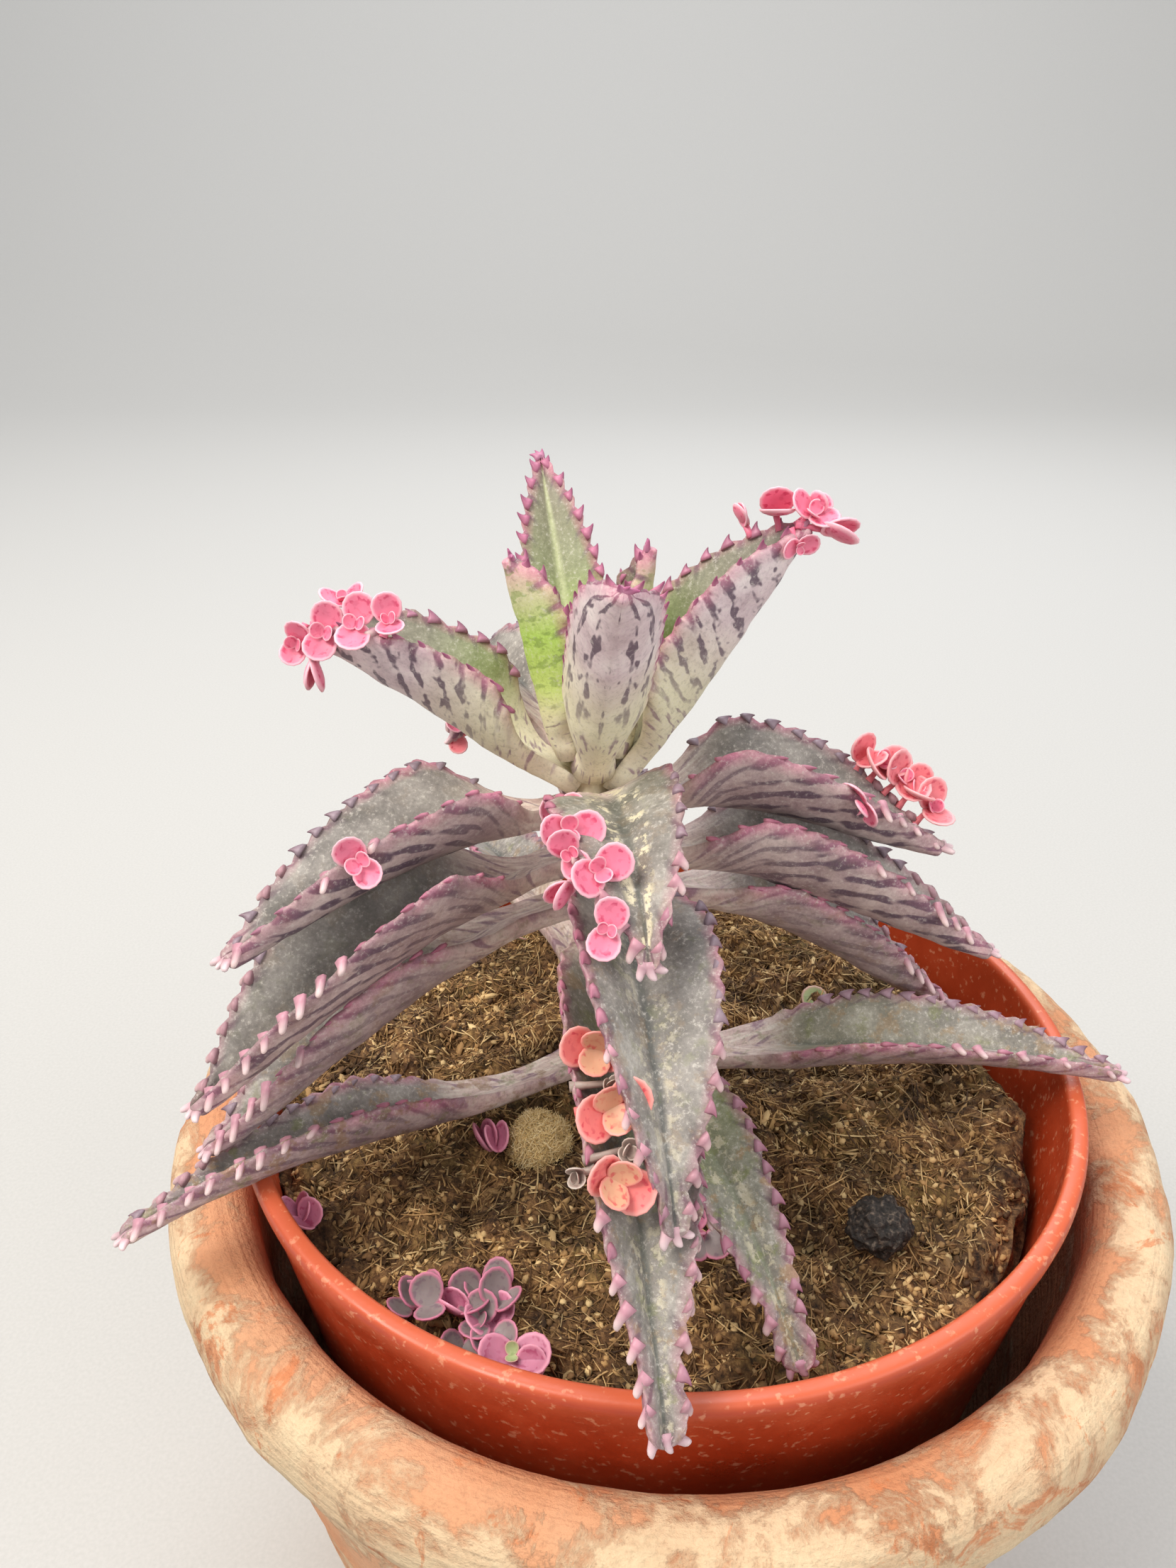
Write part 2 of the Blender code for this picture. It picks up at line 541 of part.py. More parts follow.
def make_fallen(fallen, material):
    """A patch of dropped plantlets, pressed together on the soil and joined to one body."""
    chance = random.Random(fallen.seed)
    pieces = []
    width = fallen.width * MM
    for index in range(fallen.count):
        turn = 2.4 * index
        spread = 0.46 * width * math.sqrt(index)
        root = Vector((fallen.x * MM + spread * math.cos(turn), fallen.y * MM + spread * math.sin(turn),
                       0.0))
        axis = Vector((chance.uniform(-0.5, 0.5), chance.uniform(-0.5, 0.5), 1.0))
        root.z = chance.uniform(0.0, 0.6 * MM)
        pieces += make_plantlet(root, axis, width, chance, material)
    first = pieces[0]
    first.name = fallen.name
    fuse(first, pieces[1:])
    first.data.name = fallen.name
    corners = [vertex.co for vertex in first.data.vertices]
    lift = max(soil_height(co.x, co.y) + 3 * GAP - co.z for co in corners)
    first.data.transform(Matrix.Translation((0.0, 0.0, lift)))
    return first


def make_lump(name, place, flatness, roughness_height, seed, material):
    """A rough ball that lies on the soil."""
    x, y, radius = place
    chance = random.Random(seed)
    bm = bmesh.new()
    bmesh.ops.create_icosphere(bm, subdivisions=2, radius=radius)
    for vertex in bm.verts:
        vertex.co += vertex.co.normalized() * chance.uniform(-1, 1) * roughness_height
        vertex.co.z *= flatness
    lift = max(soil_height(x + v.co.x, y + v.co.y) + 2 * GAP - v.co.z for v in bm.verts)
    bmesh.ops.translate(bm, verts=bm.verts, vec=(x, y, lift))
    return add_object(name, bm, material, smooth_angle=60)


def main():
    clear_scene()
    clay = make_material("terracotta", (0.69, 0.34, 0.15), 0.85)
    plastic = make_material("orange_plastic", (0.58, 0.09, 0.03), 0.35)
    peat = make_material("peat", (0.14, 0.07, 0.03), 0.95)
    bark = make_material("stem", (0.42, 0.33, 0.24), 0.6)
    blade = make_material("leaf", (0.30, 0.24, 0.21), 0.55)
    pink = make_material("plantlet_pink", (0.80, 0.22, 0.30), 0.5)
    straw = make_material("straw", (0.55, 0.42, 0.22), 0.9)
    char = make_material("charred_bark", (0.03, 0.025, 0.022), 0.9)

    make_clay_pot(clay)
    make_nursery_pot(plastic)
    make_soil(peat)
    make_stem(bark)
    chance = random.Random(11)
    for leaf in LEAVES:
        obj = make_leaf(leaf, blade)
        pieces = []
        for brood in BROODS:
            if brood.leaf == leaf.name:
                pieces += make_brood(leaf, brood, chance, pink)
        if pieces:
            fuse(obj, pieces)
    for fallen in FALLEN:
        make_fallen(fallen, pink)
    make_lump("fibre_ball", FIBRE_BALL, 0.92, 0.25 * MM, 1, straw)
    make_lump("dark_clump", DARK_CLUMP, 0.7, 0.45 * MM, 2, char)


main()
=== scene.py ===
# %% [markdown]
# # A mother of thousands in its pots
# The plant is a succulent that carries young plants on the edges of its toothed leaves. It grows in
# a plastic nursery pot, and that pot stands in a clay pot. This lesson dresses the plain solids of
# the part: each solid gives the place and the size, and the fine piece made here takes its place.

import math
import random
from collections import namedtuple
from functools import partial

import bpy
import numpy as np
from mathutils import Matrix, Vector, noise


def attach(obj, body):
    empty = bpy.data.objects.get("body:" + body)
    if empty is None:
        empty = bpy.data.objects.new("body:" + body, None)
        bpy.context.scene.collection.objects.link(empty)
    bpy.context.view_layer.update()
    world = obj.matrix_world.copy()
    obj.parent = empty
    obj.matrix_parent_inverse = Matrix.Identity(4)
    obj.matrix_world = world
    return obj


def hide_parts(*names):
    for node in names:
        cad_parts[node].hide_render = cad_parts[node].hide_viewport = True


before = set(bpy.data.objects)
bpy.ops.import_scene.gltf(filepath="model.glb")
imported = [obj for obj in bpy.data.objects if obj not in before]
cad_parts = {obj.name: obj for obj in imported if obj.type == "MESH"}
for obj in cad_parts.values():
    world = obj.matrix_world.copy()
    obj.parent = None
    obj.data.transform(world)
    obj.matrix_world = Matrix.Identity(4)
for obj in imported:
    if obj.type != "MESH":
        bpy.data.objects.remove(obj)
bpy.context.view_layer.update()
MM = 0.001
print("solids:", len(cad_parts))

# %% [markdown]
# ## Colours and nodes
# Colours are picked as hex values, as on a screen, and Blender wants them linear, so one function
# turns them. A material is a chain of nodes. A list says which node each short name stands for, and
# one small function adds a node from it, so each material reads from top to bottom.

# %% Helpers for materials


def colour(hex_value):
    """sRGB hex to linear red, green, blue and alpha."""
    parts = [int(hex_value[i:i + 2], 16) / 255 for i in (1, 3, 5)]
    return (*[p / 12.92 if p <= 0.04045 else ((p + 0.055) / 1.055) ** 2.4 for p in parts], 1.0)


# short name: the node, its settings, the sockets that values fill in order, the output to use
KINDS = {
    "attribute": ("ShaderNodeAttribute", {}, (), "Vector"),
    "place": ("ShaderNodeTexCoord", {}, (), "Object"),
    "split": ("ShaderNodeSeparateXYZ", {}, (0,), None),
    "join": ("ShaderNodeCombineXYZ", {}, (0, 1, 2), 0),
    "stretch": ("ShaderNodeMapping", {}, ("Vector", "Scale"), 0),
    "noise": ("ShaderNodeTexNoise", {},
              ("Vector", "Scale", "Detail", "Roughness", "Distortion"), 0),
    "cells": ("ShaderNodeTexVoronoi", {}, ("Vector", "Scale"), "Distance"),
    "ramp": ("ShaderNodeValToRGB", {}, (0,), 0),
    "range": ("ShaderNodeMapRange", {}, ("Value", "From Min", "From Max", "To Min", "To Max"), 0),
    "times": ("ShaderNodeMath", {"operation": "MULTIPLY"}, (0, 1), 0),
    "plus": ("ShaderNodeMath", {"operation": "ADD"}, (0, 1), 0),
    "minus": ("ShaderNodeMath", {"operation": "SUBTRACT"}, (0, 1), 0),
    "cosine": ("ShaderNodeMath", {"operation": "COSINE"}, (0,), 0),
    "root": ("ShaderNodeMath", {"operation": "SQRT"}, (0,), 0),
    "between": ("ShaderNodeMix", {"data_type": "FLOAT"}, (0, 2, 3), 0),
    "blend": ("ShaderNodeMix", {"data_type": "RGBA"}, (0, 6, 7), 2),
    "shade": ("ShaderNodeMix", {"data_type": "RGBA", "blend_type": "MULTIPLY"}, (0, 6, 7), 2),
    "bump": ("ShaderNodeBump", {}, ("Strength", "Distance", "Height"), 0),
}


def add_node(tree, kind, *values, output=None, **settings):
    """Add a node, set it, fill or link its sockets; a ramp's stops follow. Return its output."""
    node_type, fixed, sockets, usual = KINDS[kind]
    node = tree.nodes.new(node_type)
    for name, value in {**fixed, **settings}.items():
        setattr(node, name, value)
    for name, value in zip(sockets, values):
        socket = node.inputs[name]
        if isinstance(value, bpy.types.NodeSocket):
            tree.links.new(value, socket)
        elif isinstance(value, str) and value.startswith("#"):
            socket.default_value = colour(value)
        else:
            socket.default_value = value
    stops = values[len(sockets):]
    if stops:
        elements = node.color_ramp.elements
        while len(elements) < len(stops):
            elements.new(1.0)
        for element, (position, shade) in zip(elements, stops):
            element.position = position
            element.color = colour(shade) if isinstance(shade, str) else (shade,) * 3 + (1.0,)
    chosen = usual if output is None else output
    return node if chosen is None else node.outputs[chosen]


def start_material(name, roughness, ior, more=None):
    """A new material with its constants, its node adder and its Object coordinates."""
    material = bpy.data.materials.new(name)
    material.use_nodes = True
    surface = material.node_tree.nodes["Principled BSDF"].inputs
    for socket, value in {"Roughness": roughness, "IOR": ior, **(more or {})}.items():
        surface[socket].default_value = value
    add = partial(add_node, material.node_tree)
    return material, add, add("place")


def finish_material(material, tint, height=None, strength=0.0, depth_mm=0.0, roughness=None):
    """Link the tint and, where they are given, the relief and a roughness that varies."""
    tree = material.node_tree
    surface = tree.nodes["Principled BSDF"].inputs
    tree.links.new(tint, surface["Base Color"])
    if height is not None:
        tree.links.new(add_node(tree, "bump", strength, depth_mm * MM, height), surface["Normal"])
    if roughness is not None:
        tree.links.new(roughness, surface["Roughness"])
    return material


def per_metre(size_mm):
    """Scale of a noise whose lumps are about this many millimetres, on coordinates in metres."""
    return 1000.0 / size_mm


print("white is", colour("#FFFFFF"))

# %% [markdown]
# ## Camera
# The view looks down on the plant by about 27 degrees from close by, with a wide lens. The rim of
# the nursery pot is a circle of known size, and its ellipse in the picture gives the camera.

# %% Camera
LONG_SIDE, FOCAL_PIXELS = 2212, 1661.0
CAMERA_PITCH = math.radians(27.41)


def put_in_scene(name, data):
    obj = bpy.data.objects.new(name, data)
    bpy.context.scene.collection.objects.link(obj)
    return obj


camera_data = bpy.data.cameras.new("camera")
camera_data.sensor_fit = "VERTICAL"
camera_data.sensor_height = 36.0  # millimetres, the long side of full-frame film
camera_data.lens = FOCAL_PIXELS / LONG_SIDE * camera_data.sensor_height
camera_data.clip_start = 5 * MM
camera = put_in_scene("camera", camera_data)
camera.location = (-11.3 * MM, -138.5 * MM, 231.0 * MM)
camera.rotation_euler = (math.radians(90.0) - CAMERA_PITCH, 0.0, 0.0)
bpy.context.scene.camera = camera
print("lens", round(camera_data.lens, 2), "mm")

# %% [markdown]
# ## Meshes from arrays
# Leaves and pots follow rules, so their points are computed in arrays. A shell is a set of points
# and faces with named values at each point, which the materials read. Noise lets a surface be
# uneven, as grown and hand-made things are.

# %% Shells
Shell = namedtuple("Shell", "points faces values", defaults=({},))


def ring_faces(rows, columns, ends="capped"):
    """Quads between rings of points, facing out when the rings run up and anticlockwise."""
    faces = [(row * columns + i, row * columns + (i + 1) % columns,
              (row + 1) % rows * columns + (i + 1) % columns, (row + 1) % rows * columns + i)
             for row in range(rows if ends == "joined" else rows - 1) for i in range(columns)]
    if ends == "capped":
        last = (rows - 1) * columns
        faces += [tuple(range(columns))[::-1], tuple(range(last, last + columns))]
    return faces


def store_values(mesh, values):
    for key, rows in values.items():
        attribute = mesh.attributes.new(key, "FLOAT_VECTOR", "POINT")
        attribute.data.foreach_set("vector", np.array(rows, dtype=np.float32).ravel())


def make_piece(name, shell, material):
    """Make a shell an object at the origin, with its values as point attributes."""
    mesh = bpy.data.meshes.new(name)
    mesh.from_pydata(np.array(shell.points).tolist(), [], shell.faces)
    mesh.materials.append(material)
    store_values(mesh, shell.values)
    mesh.shade_smooth()
    return put_in_scene(name, mesh)


def dress(piece, slot, *nodes):
    """Let a finished piece ride on the part and stand for its solids."""
    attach(piece, "root")
    if nodes:
        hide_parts(*nodes)


def rough(points, size_mm, height_mm, seed=0):
    """Lumps of size_mm that reach up to about height_mm, in metres, at each point."""
    shift = Vector((seed * 7.13, seed * 3.71, seed * 5.37))
    scale = 1.0 / (size_mm * MM)
    values = [noise.noise(Vector(p) * scale + shift) for p in points]
    return np.array(values) * 2 * height_mm * MM


def smooth_step(value):
    value = np.clip(value, 0.0, 1.0)
    return value * value * (3 - 2 * value)


print("height of a 5 mm lump at one point:", rough([(0.01, 0.02, 0.03)], 5, 1))

# %% [markdown]
# ## The leaf's skin
# The leaf is a living skin with wax on it. Seen from above, an old leaf is a dusty grey; its
# underside is a pinkish mauve, with purple-brown dashes that run in from the notches towards the
# foot. Young leaves are fresh green with a cream foot. Each leaf carries its own ruler: how far a
# point is from the margin and along the blade, in millimetres, so that the dashes follow it. An
# image could hold such a pattern for one leaf only; nodes on a ruler serve all 22.

# %% Material: leaf skin


def waxy_leaf_skin():
    # A waxy skin: soft broad gloss, fine mealy bloom, dashes of purple pigment under it.
    material, add, place = start_material("waxy_leaf_skin", 0.5, 1.42)
    ruler, dash_ruler = (add("attribute", attribute_name=name)
                         for name in ("leaf_ruler", "dash_ruler"))
    margin_mm, along_mm, _ = add("split", ruler).outputs
    (under, share, reach), (youth, wear, crust), (dashes_here, lime, turns) = (
        add("split", add("attribute", attribute_name=name)).outputs
        for name in ("leaf_zone", "leaf_life", "leaf_marks"))
    inward = add("times", margin_mm, 0.2)  # 0 at the margin, 1 at 5 mm from it

    # dashes about 0.8 mm wide and 3 mm long or more, thickest at each notch, where shade is painted
    # too
    blots = add("noise", dash_ruler, 1.0, 1.2, 0.5)
    beat = add("cosine", add("times", turns, 2 * math.pi))
    near_margin = add("ramp", inward, (0.0, 1.0), (0.35, 0.35), (1.0, 0.0))
    value = add("plus", blots, add("times", beat, 0.12))
    value = add("plus", value, add("times", near_margin, 0.05))
    value = add("plus", value, add("ramp", youth, (0.0, 0.035), (0.4, 0.0)))
    dashes = add("times", add("ramp", value, (0.56, 0.0), (0.65, 0.92)), dashes_here)
    dashes = add("times", dashes, add("ramp", share, (0.0, 0.45), (0.4, 1.0)))
    # painted shadow in the notches between the teeth, used on both faces
    painted_notch_shade = add("times", add("ramp", beat, (0.55, 0.0), (0.95, 1.0)),
                add("ramp", inward, (0.12, 0.85), (0.42, 0.0)))

    # broad changes of colour, grain along the stalk, and meal: real grains of wax are 0.1 mm, too
    # fine to show here, so they are drawn as patches of 0.6 mm
    broad = add("noise", place, per_metre(5.0), 4.0)
    meal = add("noise", place, per_metre(0.6), 4.0, 0.75)
    grain = add("noise", add("stretch", ruler, (1.3, 0.2, 1.0)), 1.6, 3.0)

    # upper face: dusty grey, fresh green low on young leaves, painted shade at the notches
    upper = add("ramp", broad, (0.3, "#6E6963"), (0.5, "#8B857F"), (0.7, "#A9A39B"))
    fresh = add("ramp", share, (0.0, "#C3D368"), (0.25, "#9BB254"), (0.5, "#8A8F68"),
                (1.0, "#857A6E"))
    upper = add("blend", youth, upper, fresh)
    channel = add("ramp", reach, (0.03, 0.7), (0.16, 0.0))
    upper = add("blend", channel, upper, add("blend", youth, "#4F524E", "#BFC496"))
    upper = add("blend", painted_notch_shade, upper, "#574A4F")

    # underside: mauve, cream or lime at the foot of young leaves, with the dashes and painted shade
    # at the notches
    aged = add("ramp", broad, (0.3, "#9A8384"), (0.5, "#B59F9E"), (0.7, "#CCB9B4"))
    lower = add("ramp", broad, (0.3, "#BDA7AC"), (0.5, "#D3C0C3"), (0.7, "#E5D8D6"))
    young = add("ramp", youth, (0.1, 0.0), (0.4, 1.0))
    lower = add("blend", young, aged, lower)
    foot = add("times", add("ramp", share, (0.0, 0.9), (0.2, 0.6), (0.5, 0.0)), young)
    lower = add("blend", foot, lower, "#E0DCB4")
    green = add("ramp", share, (0.0, "#E2DD9E"), (0.2, "#C9DC7C"), (0.55, "#B2D262"),
                (0.8, "#CFCBA0"), (1.0, "#D9A4AC"))
    lower = add("blend", lime, lower, green)
    lower = add("blend", dashes, lower, add("blend", lime, "#5F4B5B", "#80984A"))
    lower = add("blend", painted_notch_shade, lower, "#69505F")
    skin = add("blend", under, upper, lower)

    # stalk: pinkish beige with fine lines along it and a few purple blots, cream when young
    stalk = add("ramp", grain, (0.3, "#BDA39D"), (0.5, "#D8C3B9"), (0.68, "#EADFD2"))
    stalk = add("blend", add("ramp", youth, (0.1, 0.0), (0.45, 0.85)), stalk, "#E6E1C0")
    stalk = add("blend", add("ramp", blots, (0.57, 0.0), (0.66, 0.75)), stalk, "#86657A")
    on_stalk = add("range", along_mm, 5.0, -3.0, interpolation_type="SMOOTHSTEP")
    skin = add("blend", on_stalk, skin, stalk)

    # the margin blushes pink: most near the foot of an old blade, and all along a young one
    rim = add("times", add("ramp", inward, (0.0, 0.9), (0.12, 0.5), (0.28, 0.0)),
              add("ramp", broad, (0.35, 0.3), (0.6, 1.0)))
    old_rim = add("ramp", share, (0.0, 0.2), (0.06, 1.0), (0.3, 0.9), (0.5, 0.45))
    young_rim = add("ramp", share, (0.0, 0.1), (0.3, 0.8), (1.0, 1.0))
    rim = add("times", rim, add("between", youth, old_rim, young_rim))
    skin = add("blend", rim, skin, "#C5788F")

    # weather on old leaves: brown stains, moss, and a cream crust beside the channel
    stain = add("noise", place, per_metre(3.2), 5.0, 0.65)
    for tint, stops in (("#9C7E56", ((0.55, 0.0), (0.62, 0.8))),
                        ("#7C8348", ((0.36, 0.75), (0.44, 0.0)))):
        skin = add("blend", add("times", add("ramp", stain, *stops), wear), skin, tint)
    beside = add("ramp", reach, (0.08, 0.0), (0.16, 1.0), (0.34, 0.9), (0.5, 0.0))
    flakes = add("ramp", add("noise", place, per_metre(1.7), 5.0, 0.7), (0.5, 0.0), (0.56, 1.0))
    crusty = add("times", add("times", beside, flakes), crust)
    crusty = add("times", crusty, add("minus", 1.0, under))
    skin = add("blend", crusty, skin, "#DDD3B4")
    skin = add("shade", 1.0, skin, add("ramp", meal, (0.32, 0.74), (0.5, 1.0), (0.72, 1.0)))
    skin = add("blend", add("ramp", meal, (0.54, 0.0), (0.68, 0.5)), skin, "#D9D2C8")
    return finish_material(material, skin, add("plus", meal, add("times", crusty, 2.0)), 0.4, 0.18,
                           add("ramp", meal, (0.3, 0.4), (0.7, 0.6)))


LEAF_SKIN = waxy_leaf_skin()
print("made", LEAF_SKIN.name)

# %% [markdown]
# ## The plant's plan
# The plant grows by a rule: opposite pairs of leaves, each pair a quarter turn on from the last.
# A leaf starts at the stem, follows a path that rises and droops, and carries a folded blade. The
# places and sizes are the part's own, in millimetres and degrees. The last values are looks: how
# blunt the tip is, how young, lime, worn and crusted the leaf is, and how its dashes lean and show.

# %% Values of the plan
STEM_PLACE = (-10.8, -0.9)
RIM_HEIGHT = 118.3
SOIL_LEVEL = RIM_HEIGHT - 8.4
STEM_TOP = RIM_HEIGHT + 50.0
STEM_FOOT_RADIUS, STEM_TOP_RADIUS = 3.1, 2.2
STALK_HALF_WIDTH, STALK_FOLD = 2.1, 12.0
KEEL_DEPTH = 3.1
TOOTH_PITCH, TOOTH_LENGTH = 2.9, 1.5

Leaf = namedtuple("Leaf", "name height azimuth rise bend roll stalk blade half_width blunt fold "
                          "fingers tip youth lime wear crust lean dashes")
LEAVES = [Leaf(*row) for row in (
    ("01_left", 48, 187, (72, 75, 72), 0, 4, 4.5, 20.5, 6, 0.4, 43, 1.4, 5, 0.8, 1, 0, 0, 0.3, 0.6),
    ("01_right", 48, 5, (76, 82, 83), 0, 0, 5.5, 19.5, 5.4, 0.4, 42, 1.6, 2.6, 0.8, 1, 0, 0, 0.3,
     0.4),
    ("02_front", 46, -83, (54, 52, 48), -1, -12, 10, 28.5, 6.9, 0.6, 45, 1.6, 5.5, 0.75, 0, 0, 0,
     5, 1),
    ("02_back", 46, 104, (49, 52, 48), 1, -5, 7.5, 33.5, 6.2, 0.4, 21, 1.5, 2.4, 0.95, 0.5, 0, 0,
     1, 0.4),
    ("03_left", 43.5, 178, (29, 32, 22), 0, 3, 10.5, 27.5, 9.8, 0.6, 49, 1.5, 2.6, 0.42, 0, 0, 0,
     0.8, 1),
    ("03_right", 43.5, 0, (54, 56, 56), -1, 2, 12.5, 26.5, 10, 0.6, 47, 1.5, 2.6, 0.5, 0, 0, 0,
     0.7, 1),
    ("04_front", 41, -80, (34, -2, -54), -1, 10, 8, 28.5, 8.2, 1.2, 20, 2.2, 1.9, 0.05, 0, 0.2, 1,
     1.5, 0.6),
    ("04_back", 41, 122, (46, -10, -86), 0, -6, 13.5, 36.5, 7.6, 0.8, 40, 2, 1.9, 0, 0, 0, 0, 2, 1),
    ("05_left", 39, 213, (18, -10, -18), 2, 9, 10.5, 37.5, 10.2, 1, 43, 2.6, 2, 0, 0, 0.1, 0, 2, 1),
    ("05_right", 39, -4, (28, -14, -12), 0, -1, 9.5, 35, 9.8, 0.8, 54, 2.4, 2, 0, 0, 0.05, 0, 2.4,
     1),
    ("06_front", 34, -80, (14, -18, -52), -2, -14, 16, 39, 9.6, 1.6, 29, 2.1, 1.9, 0, 0, 0.3, 0.35,
     1.5, 0.8),
    ("06_back", 35, 96, (24, -10, -40), 0, 4, 14.5, 40, 9, 1.4, 34, 2.8, 1.9, 0, 0, 0.1, 0.1, 2, 1),
    ("07_left", 31.8, 217, (11, -19, -22), 1, 4, 14, 42.5, 13, 1.2, 48, 2.8, 2, 0, 0, 0.15, 0.05,
     2, 0.9),
    ("07_right", 32, -5, (13, -21, -18), 0, -6, 11.5, 42.5, 9.5, 1, 57, 2.6, 2, 0, 0, 0.1, 0, 2.4,
     1),
    ("08_front", 29, -86, (7, -25, -43), 5, -15, 18.5, 50, 9.1, 2.4, 32, 2.3, 1.9, 0.05, 0, 0.55,
     0.5, 1.5, 0.6),
    ("08_back", 28, 88, (6, -24, -34), 0, 6, 18, 43, 8.6, 1.6, 34, 3, 1.9, 0, 0, 0.3, 0.2, 2, 0.8),
    ("09_left", 24.7, 211, (9, -27, -23), 0, 11, 18.5, 38, 8.5, 1.2, 47, 3, 2, 0, 0, 0.35, 0, 2.4,
     0.5),
    ("09_right", 25, 2, (15, -31, -30), 3, -5, 16, 39.5, 8.4, 1, 45, 3, 2, 0, 0, 0.3, 0.1, 2.4,
     0.5),
    ("10_front", 11, -66, (1, -13, -50), 1, 7, 18, 38, 6, 2, 20, 2, 1.9, 0.3, 0, 0.8, 0.6, 1.5,
     0.5),
    ("10_back", 10, 114, (10, -6, -18), 0, 0, 19, 34, 7, 1.6, 34, 3, 1.9, 0, 0, 0.5, 0.2, 2, 0.8),
    ("11_left", -3.4, 214, (1, 8, -14), 0, 14, 19, 44.5, 6.7, 1.4, 48, 2.6, 2, 0, 0, 0.7, 0.1, 3,
     0.6),
    ("11_right", -3.6, -9, (12, 7, -10), 0, 1, 23.5, 46.5, 7.8, 1.4, 40, 1.8, 2, 0.1, 0, 0.6, 0.1,
     3, 0.4),
)]
print("leaves:", len(LEAVES))

# %% [markdown]
# ## A leaf's path
# The path is found by walking: at each step the leaf's direction turns a little, and the steps add
# up. A point on the leaf is then a place on the path, a way across the fold and a way through it.

# %% Path and widths


def stem_radius(height):
    """Millimetres, for a height in millimetres above the ground."""
    share = np.clip((height - SOIL_LEVEL) / (STEM_TOP - SOIL_LEVEL), 0, 1)
    return STEM_FOOT_RADIUS + (STEM_TOP_RADIUS - STEM_FOOT_RADIUS) * share


def leaf_path(leaf, distance):
    """For distances in millimetres from the stem: points, and forward, side and upper ways."""
    fine = np.linspace(0.0, 1.0, 241)
    start, middle, end = leaf.rise
    rise = np.radians(start * (1 - fine) * (1 - 2 * fine) + 4 * middle * fine * (1 - fine)
                      + end * fine * (2 * fine - 1))
    heading = np.radians(leaf.azimuth + leaf.bend * fine)
    forward = np.stack([np.cos(rise) * np.cos(heading), np.cos(rise) * np.sin(heading),
                        np.sin(rise)], axis=1)
    whole = leaf.stalk + leaf.blade
    steps = (forward[1:] + forward[:-1]) / 2 * whole / (len(fine) - 1)
    height = RIM_HEIGHT + leaf.height
    foot_radius = stem_radius(height) + 0.5
    foot = np.array([STEM_PLACE[0] + foot_radius * math.cos(heading[0]),
                     STEM_PLACE[1] + foot_radius * math.sin(heading[0]), height])
    points = (foot + np.vstack([np.zeros(3), np.cumsum(steps, axis=0)])) * MM
    side = np.stack([-np.sin(heading), np.cos(heading), 0 * heading], axis=1)
    upper = np.cross(forward, side)
    turn = (np.radians(leaf.roll) * np.minimum(1.0, fine * whole / leaf.stalk))[:, None]
    ways = (points, forward, side * np.cos(turn) + upper * np.sin(turn),
            upper * np.cos(turn) - side * np.sin(turn))
    fractions = np.asarray(distance) / whole
    return [np.stack([np.interp(fractions, fine, way[:, k]) for k in range(3)], axis=-1)
            for way in ways]


def leaf_opening(leaf, distance):
    """How far the stalk has opened into the blade, from 0 to 1."""
    start = leaf.stalk * (0.45 - 0.45 * min(1.0, leaf.youth))
    end = leaf.stalk + (0.35 if leaf.wear > 0.55 else 0.2) * leaf.blade
    return smooth_step((distance - start) / (end - start))


def leaf_half_width(leaf, distance):
    """Millimetres from the channel to the margin."""
    along = np.clip((distance - leaf.stalk) / leaf.blade, 0, 1)
    taper = (1 - np.clip((along - 0.1) / 0.9, 0, 1) ** leaf.tip) ** 0.9
    blade = np.maximum(leaf.half_width * taper, leaf.blunt)
    stalk = STALK_HALF_WIDTH + 0.9 * np.exp(-np.asarray(distance) / 1.6)
    return stalk + (blade - stalk) * leaf_opening(leaf, distance)


def leaf_fold(leaf, distance):
    """Radians that each half of the blade is folded up."""
    return np.radians(STALK_FOLD + (leaf.fold - STALK_FOLD) * leaf_opening(leaf, distance))


def leaf_margin(leaf, side_sign, along):
    """A point of the margin, with the ways forward, outward and up from it."""
    distance = leaf.stalk + leaf.blade * along
    point, forward, side, upper = (Vector(way) for way in leaf_path(leaf, distance))
    fold = float(leaf_fold(leaf, distance))
    outward = side_sign * math.cos(fold) * side + math.sin(fold) * upper
    return point + outward * float(leaf_half_width(leaf, distance)) * MM, forward, outward, upper


print("widest blade:", max(leaf.half_width for leaf in LEAVES) * 2, "mm")

# %% [markdown]
# ## A leaf
# The real leaf is boat-shaped: two fleshy halves folded up from a channel, and a rounded keel
# below. A curve with a profile would give every part of it the same section, but here the section
# changes from a round stalk to a folded blade, so rings of points are computed along the path
# instead. The margin swells a little at each tooth; the teeth themselves come later.

# %% Leaf shells
ACROSS = np.array([0.0, 0.05, 0.14, 0.28, 0.44, 0.6, 0.73, 0.84, 0.92, 0.97, 1.0])
UPPER_COLUMNS = np.concatenate([ACROSS[::-1], -ACROSS[1:]])
COLUMNS = np.concatenate([UPPER_COLUMNS, UPPER_COLUMNS[::-1][1:-1]])
IS_UNDER = np.concatenate([np.zeros(len(UPPER_COLUMNS)), np.ones(len(UPPER_COLUMNS) - 2)])
TOOTH_SHARES = (0.0, 0.22, 0.42, 0.58, 0.78)
TIP_SHARES = np.array([0.25, 0.5, 0.72, 0.88, 0.97])
CHANNEL_ROUNDNESS = 0.012
STALK_ROOT = 1.6
DASHES_ACROSS, DASHES_ALONG = 1.1, 0.36  # per millimetre


def dash_rulers(leaf, along_mm, inward, teeth):
    """Millimetres across and along the dashes, and the turns of their beat."""
    across, along = along_mm + leaf.lean * inward, leaf.lean * along_mm - inward
    turns = across * teeth / leaf.blade
    if leaf.lean > 4:
        across = np.tile(1 - np.abs(COLUMNS), len(along_mm) // len(COLUMNS)) * 40
        along, turns = 5 * along_mm, across / 14
    elif leaf.youth < 0.3:
        across, along, turns = 0.72 * across, 0.62 * along, 0.55 * turns
    elif leaf.lime > 0.9:
        across, along = 1.5 * across, 2.6 * along
    else:
        along = 1.45 * along
    length = math.hypot(1.0, leaf.lean)
    return across * DASHES_ACROSS / length, along * DASHES_ALONG / length, turns


